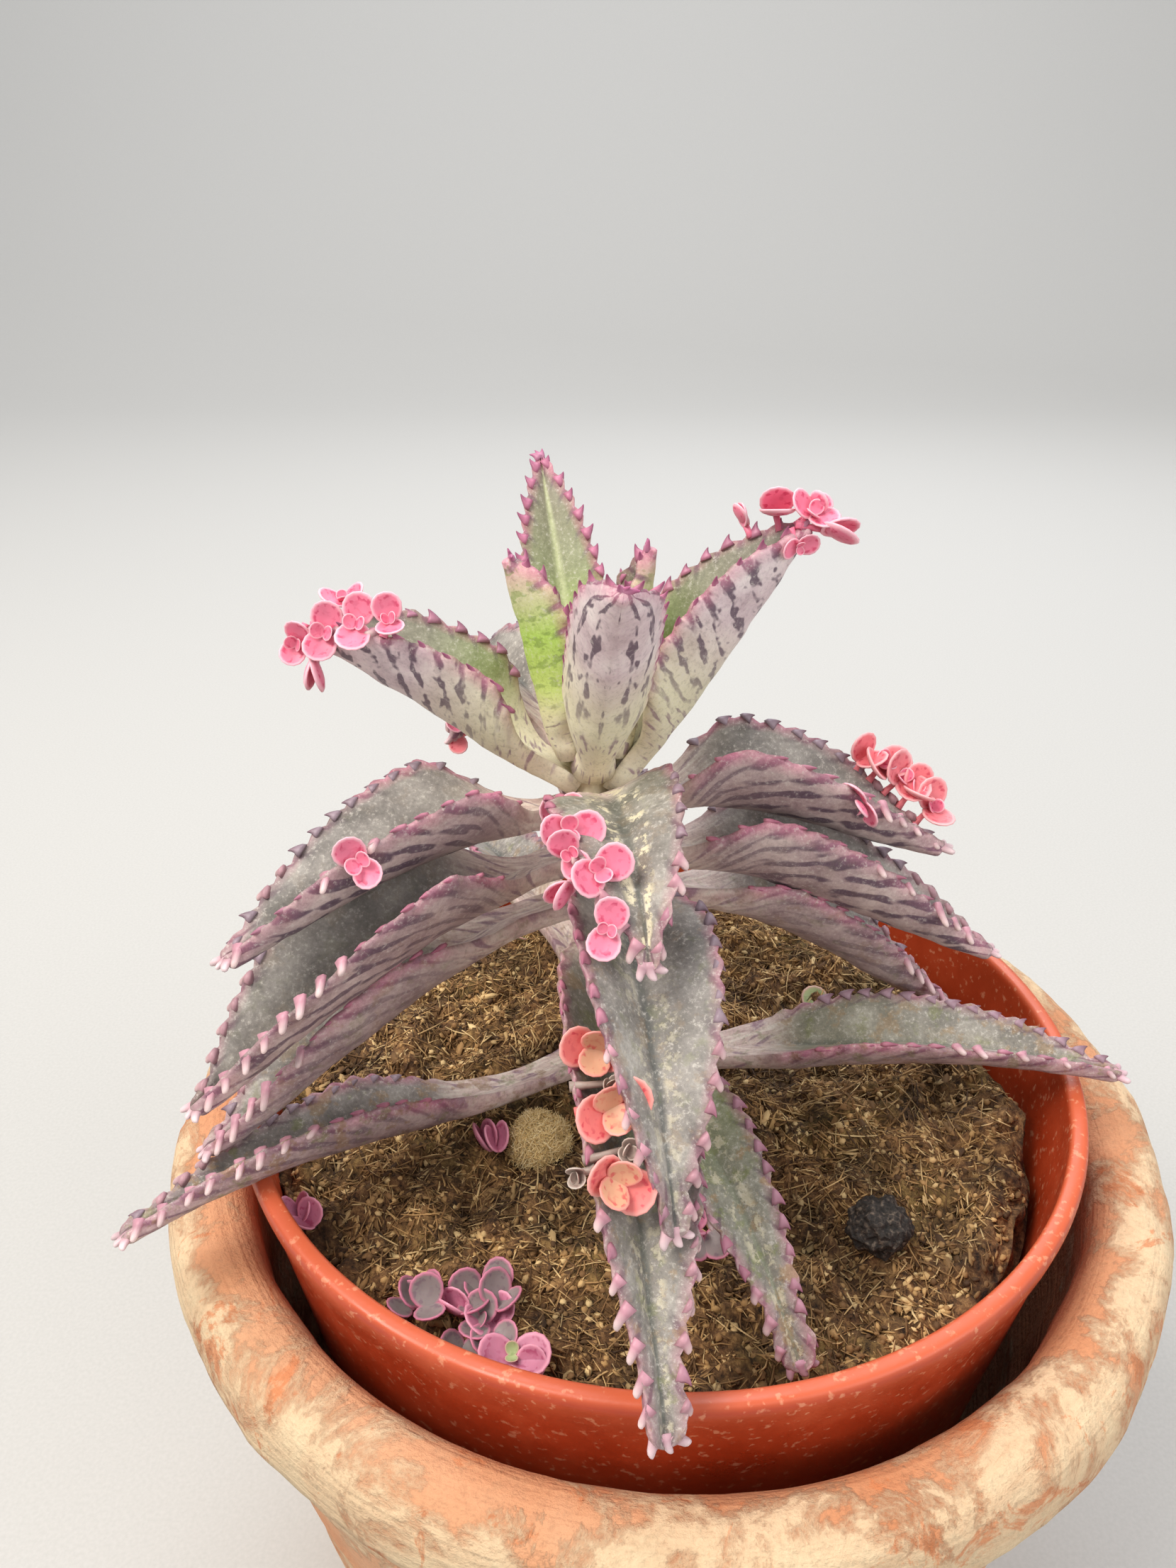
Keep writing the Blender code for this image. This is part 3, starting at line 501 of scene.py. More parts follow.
def leaf_shell(leaf, seed):
    """The leaf without its teeth, as one closed shell of rings with its rulers."""
    teeth = round(leaf.blade / TOOTH_PITCH)
    places = [(k + share) / teeth for k in range(teeth) for share in TOOTH_SHARES] + [1.0]
    distance = np.concatenate([leaf.stalk * np.linspace(0.0, 0.9, 10),
                               leaf.stalk + leaf.blade * np.array(places)])
    tip = np.concatenate([0 * distance, TIP_SHARES])
    distance = np.concatenate([distance, np.full(len(TIP_SHARES), leaf.stalk + leaf.blade)])
    along = (distance - leaf.stalk) / leaf.blade
    point, forward, side, upper = leaf_path(leaf, distance)
    point = point + forward * (tip * leaf.blunt * 0.9 * MM)[:, None]
    point[0] -= forward[0] * STALK_ROOT * MM  # the stalk starts inside the stem
    close = np.sqrt(1 - tip ** 2)
    opened, fold = leaf_opening(leaf, distance), leaf_fold(leaf, distance)[:, None]
    width = (leaf_half_width(leaf, distance) * close)[:, None]
    slim = (1 - 0.5 * np.clip(along, 0, 1)) * (0.85 if leaf.half_width < 7 else 1.0)
    keel = (KEEL_DEPTH * slim * close)[:, None]

    # the section: a fold, flesh below it and a slight puff above it
    reach, sign, under = np.abs(COLUMNS)[None, :], np.sign(COLUMNS)[None, :], IS_UNDER[None, :]
    sharp = math.sqrt(CHANNEL_ROUNDNESS)
    bend = ((np.sqrt(reach ** 2 + CHANNEL_ROUNDNESS) - sharp)
            / (math.sqrt(1 + CHANNEL_ROUNDNESS) - sharp))
    flesh = keel * under * (1 - reach ** 2.2) ** 0.55
    puff = 0.16 * keel * (1 - under) * np.sin(np.pi * reach) * opened[:, None]
    lean = fold * smooth_step(reach / 0.5)
    out = width * reach * np.cos(fold) + (flesh - puff) * np.sin(lean)
    rise = width * bend * np.sin(fold) + (puff - flesh) * np.cos(lean)

    # the margin swells under each tooth and waves gently
    swell = np.sin(np.pi * np.clip(along * teeth % 1.0, 0, 1)) ** 1.5 * (along > 0) * (along < 1)
    hold = np.clip((reach - 0.7) / 0.3, 0, 1) ** 1.5
    growth = 0.4 * TOOTH_LENGTH * swell[:, None] * hold
    wave = 0.3 * np.sin(along * 8 + seed)[:, None] * hold * opened[:, None] * sign
    out = out + growth * np.cos(fold)
    rise = rise + growth * np.sin(fold) + wave
    points = (point[:, None, :] + (sign * out)[:, :, None] * side[:, None, :] * MM
              + rise[:, :, None] * upper[:, None, :] * MM).reshape(-1, 3)
    uneven = rough(points, 5.0, 0.14, seed) + rough(points, 1.7, 0.06, seed + 5)
    points = points + uneven[:, None] * np.repeat(upper, len(COLUMNS), axis=0)

    # the rulers that the skin reads
    along_mm = np.repeat(distance - leaf.stalk, len(COLUMNS))
    one = np.ones(len(along_mm))
    side_seed = seed * 13.0 + 5.0 * np.tile(COLUMNS > 0, len(distance)) * (leaf.lean < 4)
    steady = leaf_half_width(leaf, np.minimum(distance, leaf.stalk + 0.8 * leaf.blade))[:, None]
    across_dash, along_dash, turns = dash_rulers(leaf, along_mm, (steady * (1 - reach)).ravel(),
                                                 teeth)
    values = {
        "leaf_ruler": ((width * (1 - reach)).ravel(), along_mm, side_seed),
        "leaf_zone": (np.tile(IS_UNDER, len(distance)),
                      np.repeat(np.clip(along, 0, 1), len(COLUMNS)),
                      np.tile(np.abs(COLUMNS), len(distance))),
        "leaf_life": (one * leaf.youth, one * leaf.wear, one * leaf.crust),
        "leaf_marks": (one * leaf.dashes, one * leaf.lime, turns),
        "dash_ruler": (across_dash, along_dash, side_seed),
    }
    faces = [face[::-1] for face in ring_faces(len(distance), len(COLUMNS))]
    return Shell(points, faces, {key: np.stack(value, axis=1) for key, value in values.items()})


for number, leaf in enumerate(LEAVES):
    piece = make_piece("fine_leaf_" + leaf.name, leaf_shell(leaf, number + 1), LEAF_SKIN)
    dress(piece, "leaf", "leaf_" + leaf.name)
print("faces of the last leaf:", len(piece.data.polygons))

# %% [markdown]
# ## Setting out teeth and plantlets
# Teeth and plantlets repeat along the margins, which is work for Geometry Nodes. A mesh of single
# points says where each one goes; every point carries its turn, its size and its tints. The tree
# puts one part on each point, makes the sizes a little uneven, and turns the lot into real mesh.

# %% The setting-out tree
KINDS.update({
    "given": ("NodeGroupInput", {}, (), None),
    "result": ("NodeGroupOutput", {}, (0,), None),
    "part": ("GeometryNodeObjectInfo", {}, ("Object",), "Geometry"),
    "named": ("GeometryNodeInputNamedAttribute", {"data_type": "FLOAT_VECTOR"}, ("Name",), 0),
    "number": ("FunctionNodeRandomValue", {"data_type": "FLOAT"}, (2, 3, "Seed"), 1),
    "vector": ("FunctionNodeRandomValue", {"data_type": "FLOAT_VECTOR"}, (0, 1, "Seed"), 0),
    "scaled": ("ShaderNodeVectorMath", {"operation": "SCALE"}, (0, "Scale"), 0),
    "turn": ("FunctionNodeEulerToRotation", {}, (0,), 0),
    "turned": ("FunctionNodeRotateRotation", {"rotation_space": "LOCAL"}, (0, 1), 0),
    "spread": ("GeometryNodeDistributePointsOnFaces", {}, ("Mesh", "Density", "Seed"), None),
    "placed": ("GeometryNodeInstanceOnPoints", {}, ("Points", "Instance", "Rotation", "Scale"), 0),
    "noted": ("GeometryNodeStoreNamedAttribute", {"data_type": "FLOAT", "domain": "INSTANCE"},
              ("Geometry", "Name", "Value"), 0),
    "real": ("GeometryNodeRealizeInstances", {}, (0,), 0),
    "painted": ("GeometryNodeSetMaterial", {}, ("Geometry", "Material"), 0),
})


def start_tree(name, sockets):
    """A Geometry Nodes tree with its node adder and its inputs by name."""
    tree = bpy.data.node_groups.new(name, "GeometryNodeTree")
    for socket, kind in (("Geometry", "Geometry"), *sockets.items()):
        tree.interface.new_socket(socket, in_out="INPUT", socket_type="NodeSocket" + kind)
    tree.interface.new_socket("Geometry", in_out="OUTPUT", socket_type="NodeSocketGeometry")
    add = partial(add_node, tree)
    return tree, add, add("given").outputs


def setting_out_tree():
    tree, add, given = start_tree("setting_out", {"Part": "Object", "Unevenness": "Float",
                                                  "Seed": "Int", "Material": "Material"})
    chance = add("number", add("minus", 1.0, given["Unevenness"]),
                 add("plus", 1.0, given["Unevenness"]), given["Seed"])
    placed = add("placed", given["Geometry"], add("part", given["Part"]),
                 add("turn", add("named", "turn")), add("scaled", add("named", "size"), chance))
    add("result", add("painted", add("real", placed), given["Material"]))
    return tree


def grow(name, tree, part_shell, carrier, material, **settings):
    """Run a tree with a part on a carrier, and keep the result as a plain object at the origin."""
    part = make_piece("part", part_shell, material)
    modifier = carrier.modifiers.new("grow", "NODES")
    modifier.node_group = tree
    sockets = {item.name: item.identifier for item in tree.interface.items_tree
               if item.in_out == "INPUT"}
    for key, value in {"Part": part, "Material": material, **settings}.items():
        modifier[sockets[key]] = value
    graph = bpy.context.evaluated_depsgraph_get()
    mesh = bpy.data.meshes.new_from_object(carrier.evaluated_get(graph))
    for used in (carrier, part):
        bpy.data.objects.remove(used, do_unlink=True)
    mesh.name = name
    mesh.shade_smooth()
    return put_in_scene(name, mesh)


Mark = namedtuple("Mark", "place along across size tints")


def marked_points(marks):
    """Single points with their turn, size and named tints; along and across fix the turn."""
    mesh = bpy.data.meshes.new("marks")
    mesh.from_pydata([mark.place for mark in marks], [], [])
    values = {"turn": [], "size": [], **{key: [] for key in marks[0].tints}}
    for mark in marks:
        x = mark.along.normalized()
        z = x.cross(mark.across).normalized()
        values["turn"].append(Matrix((x, z.cross(x), z)).transposed().to_euler())
        values["size"].append(Vector(mark.size) * MM)
        for key, tint in mark.tints.items():
            values[key].append(tint)
    store_values(mesh, values)
    return put_in_scene("marks", mesh)


SETTING_OUT = setting_out_tree()
print("nodes in the tree:", len(SETTING_OUT.nodes))

# %% [markdown]
# ## Teeth
# Each tooth is a soft thorn that hooks forward. On young leaves the teeth are short, broad and
# purple-pink; near the tip of an old leaf they have grown into pale, drooping fingers. They could
# be pulled out of the leaf's own mesh, but teeth set out from two little parts stay crisp, and
# each can have a length, a droop and a tint of its own.

# %% Material: tooth skin


def waxy_tooth_skin():
    # The leaf's skin where it is thin: more pigment than flesh, so pink to purple, a soft gloss.
    material, add, place = start_material("waxy_tooth_skin", 0.42, 1.42)
    reach = add("split", add("attribute", attribute_name="tooth_reach")).outputs["X"]
    foot, tip = (add("attribute", output="Color", attribute_name=name)
                 for name in ("foot_tint", "tip_tint"))
    cloud = add("noise", place, per_metre(1.8), 2.0)
    skin = add("blend", add("ramp", reach, (0.15, 0.0), (0.9, 1.0)), foot, tip)
    skin = add("shade", 1.0, skin, add("ramp", cloud, (0.3, 0.75), (0.6, 1.0)))
    return finish_material(material, skin, cloud, 0.2, 0.1)


# %% Tooth part and its places
THORN = ((-0.35, 0.62, 0.4), (0.05, 0.52, 0.36), (0.35, 0.36, 0.28), (0.65, 0.22, 0.19),
         (0.88, 0.12, 0.12), (1.0, 0.04, 0.05))
FINGER = ((-0.3, 0.62, 0.44), (0.1, 0.5, 0.4), (0.4, 0.38, 0.36), (0.75, 0.33, 0.33),
          (0.93, 0.24, 0.25), (1.0, 0.1, 0.1))
TOOTH_SIDES = 7


def circle(steps):
    """Angles round a full turn."""
    return [2 * math.pi * step / steps for step in range(steps)]


def tooth_part(outline, hook):
    """A tooth of length 1 along X that hooks towards Y, from lengths and half widths."""
    rows = [(t, hook * max(0.0, t) ** 2 + wide * math.cos(angle), deep * math.sin(angle))
            for t, wide, deep in outline for angle in circle(TOOTH_SIDES)]
    return Shell(rows, ring_faces(len(outline), TOOTH_SIDES),
                 {"tooth_reach": [(max(0.0, row[0]), 0, 0) for row in rows]})


def tooth_tints(foot, tip, other_foot, other_tip, share):
    """Tints of a tooth between two looks."""
    pairs = (("foot_tint", foot, other_foot), ("tip_tint", tip, other_tip))
    return {name: Vector(colour(a)[:3]).lerp(Vector(colour(b)[:3]), share) for name, a, b in pairs}


def tooth_marks(leaf, chance):
    """Thorns and fingers on both margins and at the tip; fingers droop on the near side."""
    teeth = round(leaf.blade / TOOTH_PITCH)
    old = 1.0 - min(1.0, 1.6 * leaf.youth)
    bare = 0.12 if leaf.wear > 0.45 else 0.0
    rose = ("#C67C90", "#B0657E") if old > 0.5 else ("#BE7590", "#8E4467")
    thorns, fingers = [], []
    for side_sign, k in ((sign, k) for sign in (1, -1) for k in range(teeth)):
        along = min(0.985, (k + 0.5 + chance.uniform(-0.12, 0.12)) / teeth)
        point, forward, outward, upper = leaf_margin(leaf, side_sign, along)
        near = min(1.0, max(0.35, 0.6 - 1.2 * outward.y))
        finger = old * near * float(smooth_step((along - 0.35) / 0.4))
        uneven = Vector([chance.uniform(-0.15, 0.15) for _ in range(3)])
        vary = chance.uniform(0.8, 1.15)
        if along < bare:
            continue
        if finger > 0.3 and chance.random() < 0.72:
            growth = 0.8 * (leaf.fingers - 1.0) * finger
            length = (0.9 + growth) * (vary + chance.uniform(-0.2, 0.1))
            flat = (outward - upper * outward.dot(upper)).normalized()
            way = flat * 0.9 + forward * 0.45 - Vector((0, 0, 0.6)) * finger + uneven
            looks = tooth_tints("#B0898F", "#C9A8A8", "#C9909F", "#EED6D3", near - 0.2)
            fingers.append(Mark(point, way, forward - upper * 0.6, (length, 1.5, 1.2), looks))
        else:
            length = (1.25 if old < 0.5 else 1.1) * vary
            rosy = 1.0 - old if outward.y > 0 else 1.0 - 0.6 * old * along
            looks = tooth_tints("#94808A", "#71545F", *rose, rosy)
            thorns.append(Mark(point, outward + forward * 0.55 + uneven, forward,
                               (length, 1.55, 1.05), looks))
    point, forward, side, _ = (Vector(way) for way in leaf_path(leaf, leaf.stalk + leaf.blade))
    for turn in (0.0, 0.75, -0.75):
        sideways = side * math.sin(turn)
        foot = point + forward * leaf.blunt * 0.5 * MM + sideways * leaf.blunt * 0.7 * MM
        looks = tooth_tints("#BC7C98", "#A6557C", "#C49CA4", "#E4CCCE", old)
        (fingers if old > 0.5 else thorns).append(
            Mark(foot, forward * math.cos(turn) + sideways, side,
                 (1.1 + 0.5 * old, 1.3 + 0.2 * old, 1.15), looks))
    return thorns, fingers


chance = random.Random(5)
TOOTH_SKIN = waxy_tooth_skin()
all_marks = [tooth_marks(leaf, chance) for leaf in LEAVES]
for which, (name, outline, hook) in enumerate((("leaf_thorns", THORN, 0.42),
                                               ("leaf_fingers", FINGER, 0.3))):
    marks = [mark for both in all_marks for mark in both[which]]
    piece = grow(name, SETTING_OUT, tooth_part(outline, hook), marked_points(marks), TOOTH_SKIN,
                 Unevenness=0.1, Seed=3)
    dress(piece, "leaf")
    print(name, len(marks))

# %% [markdown]
# ## Plantlets
# A plantlet is a pair of fleshy round leaves that open from one root, and often a smaller pair
# across them. A round leaf is a flat cushion with a thickened rim, which has a paler tint of its
# own plus a painted highlight, and red freckles. Most are salmon pink; those on the lowest front
# leaf are coral with a greenish heart, a few have withered to grey, and the ones that dropped on
# the soil are mauve.

# %% Material: plantlet skin


def fleshy_plantlet_skin():
    # Full of water: a little light passes through, so shades are soft, and the gloss is broad.
    material, add, place = start_material("fleshy_plantlet_skin", 0.45, 1.42, {
        "Subsurface Weight": 0.15, "Subsurface Radius": (1.0, 0.4, 0.35),
        "Subsurface Scale": 0.5 * MM})
    reach = add("split", add("attribute", attribute_name="disc_reach")).outputs["X"]
    face, rim, freckle = (add("attribute", output="Color", attribute_name=name)
                          for name in ("face_tint", "rim_tint", "freckle_tint"))
    spots = add("noise", place, per_metre(0.7), 1.0)
    cloud = add("noise", place, per_metre(3.0), 2.0)
    ring = add("ramp", reach, (0.45, 0.3), (0.62, 1.0), (0.82, 0.8), (0.88, 0.0))
    spotted = add("times", add("ramp", spots, (0.54, 0.0), (0.62, 0.85)), ring)
    skin = add("blend", spotted, face, freckle)
    # the paler rim is partly the plantlet's own tint and partly a painted highlight on the thin
    # edge
    skin = add("blend", add("ramp", reach, (0.76, 0.0), (0.9, 0.75), (1.0, 1.0)), skin, rim)
    skin = add("shade", 1.0, skin, add("ramp", cloud, (0.3, 0.82), (0.65, 1.0)))
    return finish_material(material, skin, spots, 0.25, 0.1)


# %% Round leaf part
# each rim tint is paler than its face: partly the plantlet's own colour, partly painted highlight
TINTS = {  # face, rim and freckles
    "pink": ("#F0829E", "#FBC2CE", "#D2446C"),
    "coral": ("#EF7E7A", "#F8ABA2", "#D23F52"),
    "heart": ("#E2AC8C", "#F29C92", "#D65A5E"),
    "rosy": ("#F0858D", "#FAB8BA", "#D24A60"),
    "withered": ("#A8968C", "#C9BBAF", "#86736C"),
    "mauve": ("#8E8180", "#D07C98", "#7C6670"),
    "fallen_pink": ("#C77C97", "#E59BB2", "#AE4B70"),
    "greenish": ("#A9B583", "#D3A99C", "#8F9E68"),
}
DISC_SIDES = 14


def round_leaf_part():
    """A round leaf of radius 1 with its root at the origin, lying along X, hollow side to Z."""
    outline = [(r, 0.18 * r ** 2 + 0.11 * math.sqrt(1 - r ** 6) - 0.06 * (1 - r ** 2))
               for r in (0.02, 0.35, 0.6, 0.76, 0.87, 0.95, 1.0)]
    outline += [(r, 0.18 * r ** 2 - 0.16 * math.sqrt(1 - r ** 4)) for r in (0.95, 0.8, 0.5, 0.02)]
    rows = [(0.86 + r * math.cos(angle),
             0.95 * (1 + 0.09 * math.cos(angle)) * r * math.sin(angle), z)
            for r, z in outline for angle in circle(DISC_SIDES)]
    zones = [(r, math.sin(angle), 0.0) for r, _ in outline for angle in circle(DISC_SIDES)]
    return Shell(rows, [face[::-1] for face in ring_faces(len(outline), DISC_SIDES)],
                 {"disc_reach": zones})


def round_leaf(root, direction, face, width, kind):
    """The mark of one round leaf; its hollow side shows along face."""
    tints = dict(zip(("face_tint", "rim_tint", "freckle_tint"),
                     (colour(tint)[:3] for tint in TINTS[kind])))
    return Mark(root, direction, face.cross(direction), (width / 2,) * 3, tints)


def plantlet_marks(root, axis, spread, width, opening, inner, kinds):
    """A pair of round leaves about an axis, spread along a direction, and a smaller pair."""
    axis = axis.normalized()
    spread = (spread - axis * spread.dot(axis)).normalized()
    marks = []
    for way, angle, size, kind in ((spread, opening, width, kinds[0]),
                                   (axis.cross(spread), 0.75 * opening, width * inner, kinds[1])):
        for sign, open_share in ((1, 1.0), (-1, 0.85)):
            turn = math.radians(angle * open_share)
            if size > 0:
                direction = axis * math.cos(turn) + way * sign * math.sin(turn)
                face = axis * math.sin(turn) - way * sign * math.cos(turn)
                shift = axis * (0.0 if size == width else 0.5 * MM)
                marks.append(round_leaf(root + shift, direction, face, size, kind))
    return marks


PLANTLET_SKIN = fleshy_plantlet_skin()
print("faces of a round leaf:", len(round_leaf_part().faces))

# %% [markdown]
# ## Which leaf carries which plantlets
# Plantlets were placed one by one, so they are a list and not a rule. The rows are grouped by leaf
# and tint. A row gives the side of the blade, the place along it, the way and length of the little
# stalk, the width of the pair, the direction that the pair spreads in, how far it turns to the
# light in front, how far it opens, and the size of the inner pair.

# %% Plantlets on the leaves
Plantlet = namedtuple("Plantlet", "side along aim stalk width spread light opening inner")
PINK, CORAL, OLD, MIXED = ("pink",) * 2, ("coral", "heart"), ("withered",) * 2, ("rosy", "pink")
PLANTLETS = (
    ("03_left", PINK, (
        (1, 0.91, -100, 0.7, 4.6, 75, 0.9, 75, 0.45), (1, 0.78, 95, 0.5, 4.4, 80, 0.9, 75, 0.45),
        (1, 0.67, 70, 1.7, 4, 100, 0.8, 60, 0.4), (1, 1, -115, 2, 3.6, 70, 0.7, 65, 0.5),
        (1, 0.96, -90, 3.5, 4.8, 0, 0.12, 18, 0), (-1, 0.86, 100, 1.4, 4, 20, 0.5, 60, 0.4))),
    ("03_right", PINK, (
        (1, 0.82, 115, 1.3, 3.2, 60, 0.2, 12, 0), (1, 0.93, 105, 1.9, 4.4, 90, 0.85, 28, 0),
        (-1, 1, 45, 1.6, 4, 150, 0.6, 70, 0.5), (-1, 1, -10, 2.7, 4.8, 60, 0.3, 20, 0),
        (-1, 0.96, -65, 1.7, 3, 0, 0.5, 80, 0.4), (1, 1, 45, 2.3, 3, 40, 0.3, 40, 0))),
    ("04_front", PINK, (
        (-1, 0.04, -90, 1.4, 3.8, 10, 0.9, 65, 0.5), (-1, 0.44, 20, 0.4, 4.4, 5, 0.85, 80, 0.5),
        (-1, 0.54, -150, 0.7, 4, -60, 0.9, 70, 0.4), (-1, 0.66, 30, 1, 4.4, 30, 0.85, 70, 0.5),
        (-1, 0.66, -150, 2.1, 3.8, 0, 0.3, 20, 0), (-1, 0.84, -140, 1.4, 4, 75, 0.9, 80, 0.4))),
    ("08_front", CORAL, (
        (-1, 0.3, 10, 2.6, 4.6, 170, 0.9, 70, 0.85), (-1, 0.42, 10, 3.3, 5.2, 27, 0.9, 75, 0.75),
        (-1, 0.55, 5, 2, 4.8, -30, 0.8, 68, 0.85))),
    ("08_front", OLD, (
        (-1, 0.37, 5, 3.6, 2, 20, 0.8, 50, 0.7), (-1, 0.51, 15, 3.9, 2.2, 60, 0.8, 50, 0.7),
        (-1, 0.53, -165, 1.5, 2.2, 100, 0.8, 40, 0.6))),
    ("05_left", PINK, ((1, 0.55, -70, 0.8, 4, -52, 0.95, 75, 0.55),)),
    ("05_right", MIXED, (
        (1, 0.62, 60, 1.6, 4.8, 120, 0.75, 40, 0), (1, 0.68, 50, 2, 5, 20, 0.6, 65, 0.5),
        (1, 0.75, 40, 2.4, 5, -50, 0.7, 60, 0.4), (1, 0.82, 50, 2.4, 4.6, 70, 0.6, 50, 0.4),
        (1, 0.9, 45, 2.4, 4.8, 95, 0.7, 60, 0.4))),
    ("05_right", PINK, ((-1, 0.63, -135, 0.6, 4, 90, 0.2, 85, 0.7),)),
    ("04_back", MIXED, ((-1, 1, -65, 0.8, 3.4, 85, 0.7, 70, 0),)),
    ("04_back", PINK, ((1, 0.9, -30, 1.5, 3.2, 70, 0.6, 50, 0),)),
    ("06_back", MIXED, ((1, 0.58, 60, 1.5, 4.6, 40, 0.4, 60, 0.4),)),
    ("06_back", PINK, ((1, 0.86, 60, 1.5, 4.4, 80, 0.4, 60, 0.4),)),
    ("08_back", CORAL, ((-1, 0.62, 120, 1.5, 4.6, 30, 0.4, 60, 0.4),)),
    ("08_back", PINK, ((-1, 0.88, 120, 1.5, 4.2, 70, 0.4, 60, 0.4),)),
)
TO_THE_LIGHT = Vector((0.0, -math.cos(CAMERA_PITCH), math.sin(CAMERA_PITCH)))
LIGHT_UP = Vector((0.0, math.sin(CAMERA_PITCH), math.cos(CAMERA_PITCH)))


def light_way(degrees):
    """A direction in the plane that faces the light, 0 to the right and 90 up."""
    angle = math.radians(degrees)
    return Vector((math.cos(angle), 0.0, 0.0)) + LIGHT_UP * math.sin(angle)


def little_stalk_part():
    rows = [(x, radius * math.cos(angle), radius * math.sin(angle))
            for x, radius in ((-0.2, 0.6), (0.3, 0.42), (1.1, 0.4)) for angle in circle(6)]
    return Shell(rows, ring_faces(3, 6), {"disc_reach": [(0.3, 0.0, 0.0)] * len(rows)})


leaves_by_name = {leaf.name: leaf for leaf in LEAVES}
discs, stalks = [], []
for name, tints, rows in PLANTLETS:
    for row in (Plantlet(*values) for values in rows):
        point, _, _, upper = leaf_margin(leaves_by_name[name], row.side, row.along)
        aim = light_way(row.aim)
        root = point + aim * row.stalk * MM
        discs += plantlet_marks(root, TO_THE_LIGHT * row.light + aim * (1 - row.light),
                                light_way(row.spread), row.width, row.opening, row.inner, tints)
        stalks.append(round_leaf(point, root - point, upper, 2.0, tints[0])
                      ._replace(size=(max(0.3, row.stalk), 1.0, 1.0)))
for name, part_shell, marks, unevenness in (("plantlets", round_leaf_part(), discs, 0.06),
                                            ("plantlet_stalks", little_stalk_part(), stalks, 0.0)):
    piece = grow(name, SETTING_OUT, part_shell, marked_points(marks), PLANTLET_SKIN,
                 Unevenness=unevenness, Seed=8)
    dress(piece, "plantlet_pink")
print("round leaves:", len(discs))

# %% [markdown]
# ## The soil
# The soil is coir: brown fibre and crumbs that have settled in lumps and shrunk from the pot. Its
# body is a grid of rings with fine lumps. Thousands of fibres lie on it, which is work for
# Geometry Nodes: points scattered on the surface, with a bent strand on each.

# %% Soil shape
POT_CENTRE = np.array((-1.1, -0.9))
POT_FOOT, POT_FOOT_RADIUS, POT_HEIGHT = 8.3, 42.0, 110.0
POT_RIM_RADIUS, POT_LIP_WIDTH = 60.0, 3.3
SOIL_SHRINKAGE, SOIL_EDGE_DROOP, SOIL_SHOULDER_DEPTH, SOIL_TO_WALL = 4.0, 2.0, 8.0, 2.2


def pot_outer_radius(height):
    widening = (POT_RIM_RADIUS - 0.5 - POT_FOOT_RADIUS) * (height - POT_FOOT) / POT_HEIGHT
    return POT_FOOT_RADIUS + widening


def soil_top(x, y):
    """Height of the soil in millimetres, for places in millimetres."""
    x, y = np.atleast_1d(x), np.atleast_1d(y)
    lumps = 0.8 * np.sin(x / 7.0 + 1.1) * np.cos(y / 9.0 - 0.4) + 0.5 * np.sin(x / 3.1 + y / 4.3)
    from_stem = np.hypot(x - STEM_PLACE[0], y - STEM_PLACE[1])
    places = np.stack([x, y, 0 * x], axis=1) * MM
    crumbs = rough(places, 8.0, 1.5, 2) + rough(places, 3.0, 1.1, 3) + rough(places, 1.2, 0.45, 4)
    return SOIL_LEVEL - 0.7 + lumps * np.clip((from_stem - 6.0) / 18.0, 0, 1) + crumbs / MM


def soil_edge_radius(angle):
    wall = POT_RIM_RADIUS - POT_LIP_WIDTH - 0.3
    shrunk = 0.25 + 0.75 * np.maximum(0.0, np.cos(angle - math.radians(8))) ** 3
    ragged = 1.0 + 0.25 * np.sin(7 * angle) + 0.2 * np.sin(23 * angle + 1)
    return wall - SOIL_SHRINKAGE * shrunk * ragged


def soil_shell(rings, steps, reach=1.0, with_sides=False):
    """Rings from the edge to the middle; only the soil itself has sides and an underside."""
    angle = np.linspace(0, 2 * np.pi, steps, endpoint=False)
    around = np.stack([np.cos(angle), np.sin(angle)], axis=1)

    rows = []
    for share in np.linspace(reach, 0.004, rings):
        flat = POT_CENTRE + (soil_edge_radius(angle) * share)[:, None] * around
        droop = SOIL_EDGE_DROOP * smooth_step((share - 0.93) / 0.07)
        rows.append(np.column_stack([flat, soil_top(*flat.T) - droop]))
    if with_sides:
        for depth in (3.5, 4.5, 5.5, 6.5):
            edge = np.column_stack([rows[0][:, :2], np.full(steps, SOIL_LEVEL - depth)])
            crumbly = rough(edge * MM, 2.5, 0.9, 9) / MM - 0.3
            edge[:, :2] += crumbly[:, None] * around
            rows.insert(0, edge)
        for height in (SOIL_LEVEL - SOIL_SHOULDER_DEPTH, POT_FOOT + 1.9):
            flat = POT_CENTRE + (pot_outer_radius(height) - SOIL_TO_WALL) * around
            rows.insert(0, np.column_stack([flat, np.full(steps, height)]))
    faces = ring_faces(len(rows), steps)
    if not with_sides:
        del faces[-2]
    return Shell(np.vstack(rows) * MM, faces)


print("soil level:", SOIL_LEVEL, "mm")

# %% Materials: soil and fibre


def coir_soil():
    # Crumbly plant fibre: no gloss, brown with mossy tints, with painted shade in the hollows and
    # in broad patches.
    material, add, place = start_material("coir_soil", 0.95, 1.45)
    crumbs = add("noise", place, per_metre(1.4), 6.0, 0.75)
    patches = add("noise", place, per_metre(18.0), 3.0)
    # the darkest stops fall where the bump is low: painted shade in the hollows, over the coir's
    # own browns
    brown = add("ramp", crumbs, (0.36, "#2B1C11"), (0.5, "#765334"), (0.66, "#B48B5A"))
    mossy = add("ramp", crumbs, (0.36, "#2E2412"), (0.53, "#7D6A38"), (0.7, "#AD9654"))
    earth = add("blend", add("ramp", patches, (0.5, 0.0), (0.64, 0.55)), brown, mossy)
    # broad patches of painted shade
    patchy_painted_shade = add("ramp", add("noise", place, per_metre(8.0), 3.0), (0.4, 0.5), (0.55, 1.0))
    return finish_material(material, add("shade", 1.0, earth, patchy_painted_shade), crumbs, 1.0, 0.7)


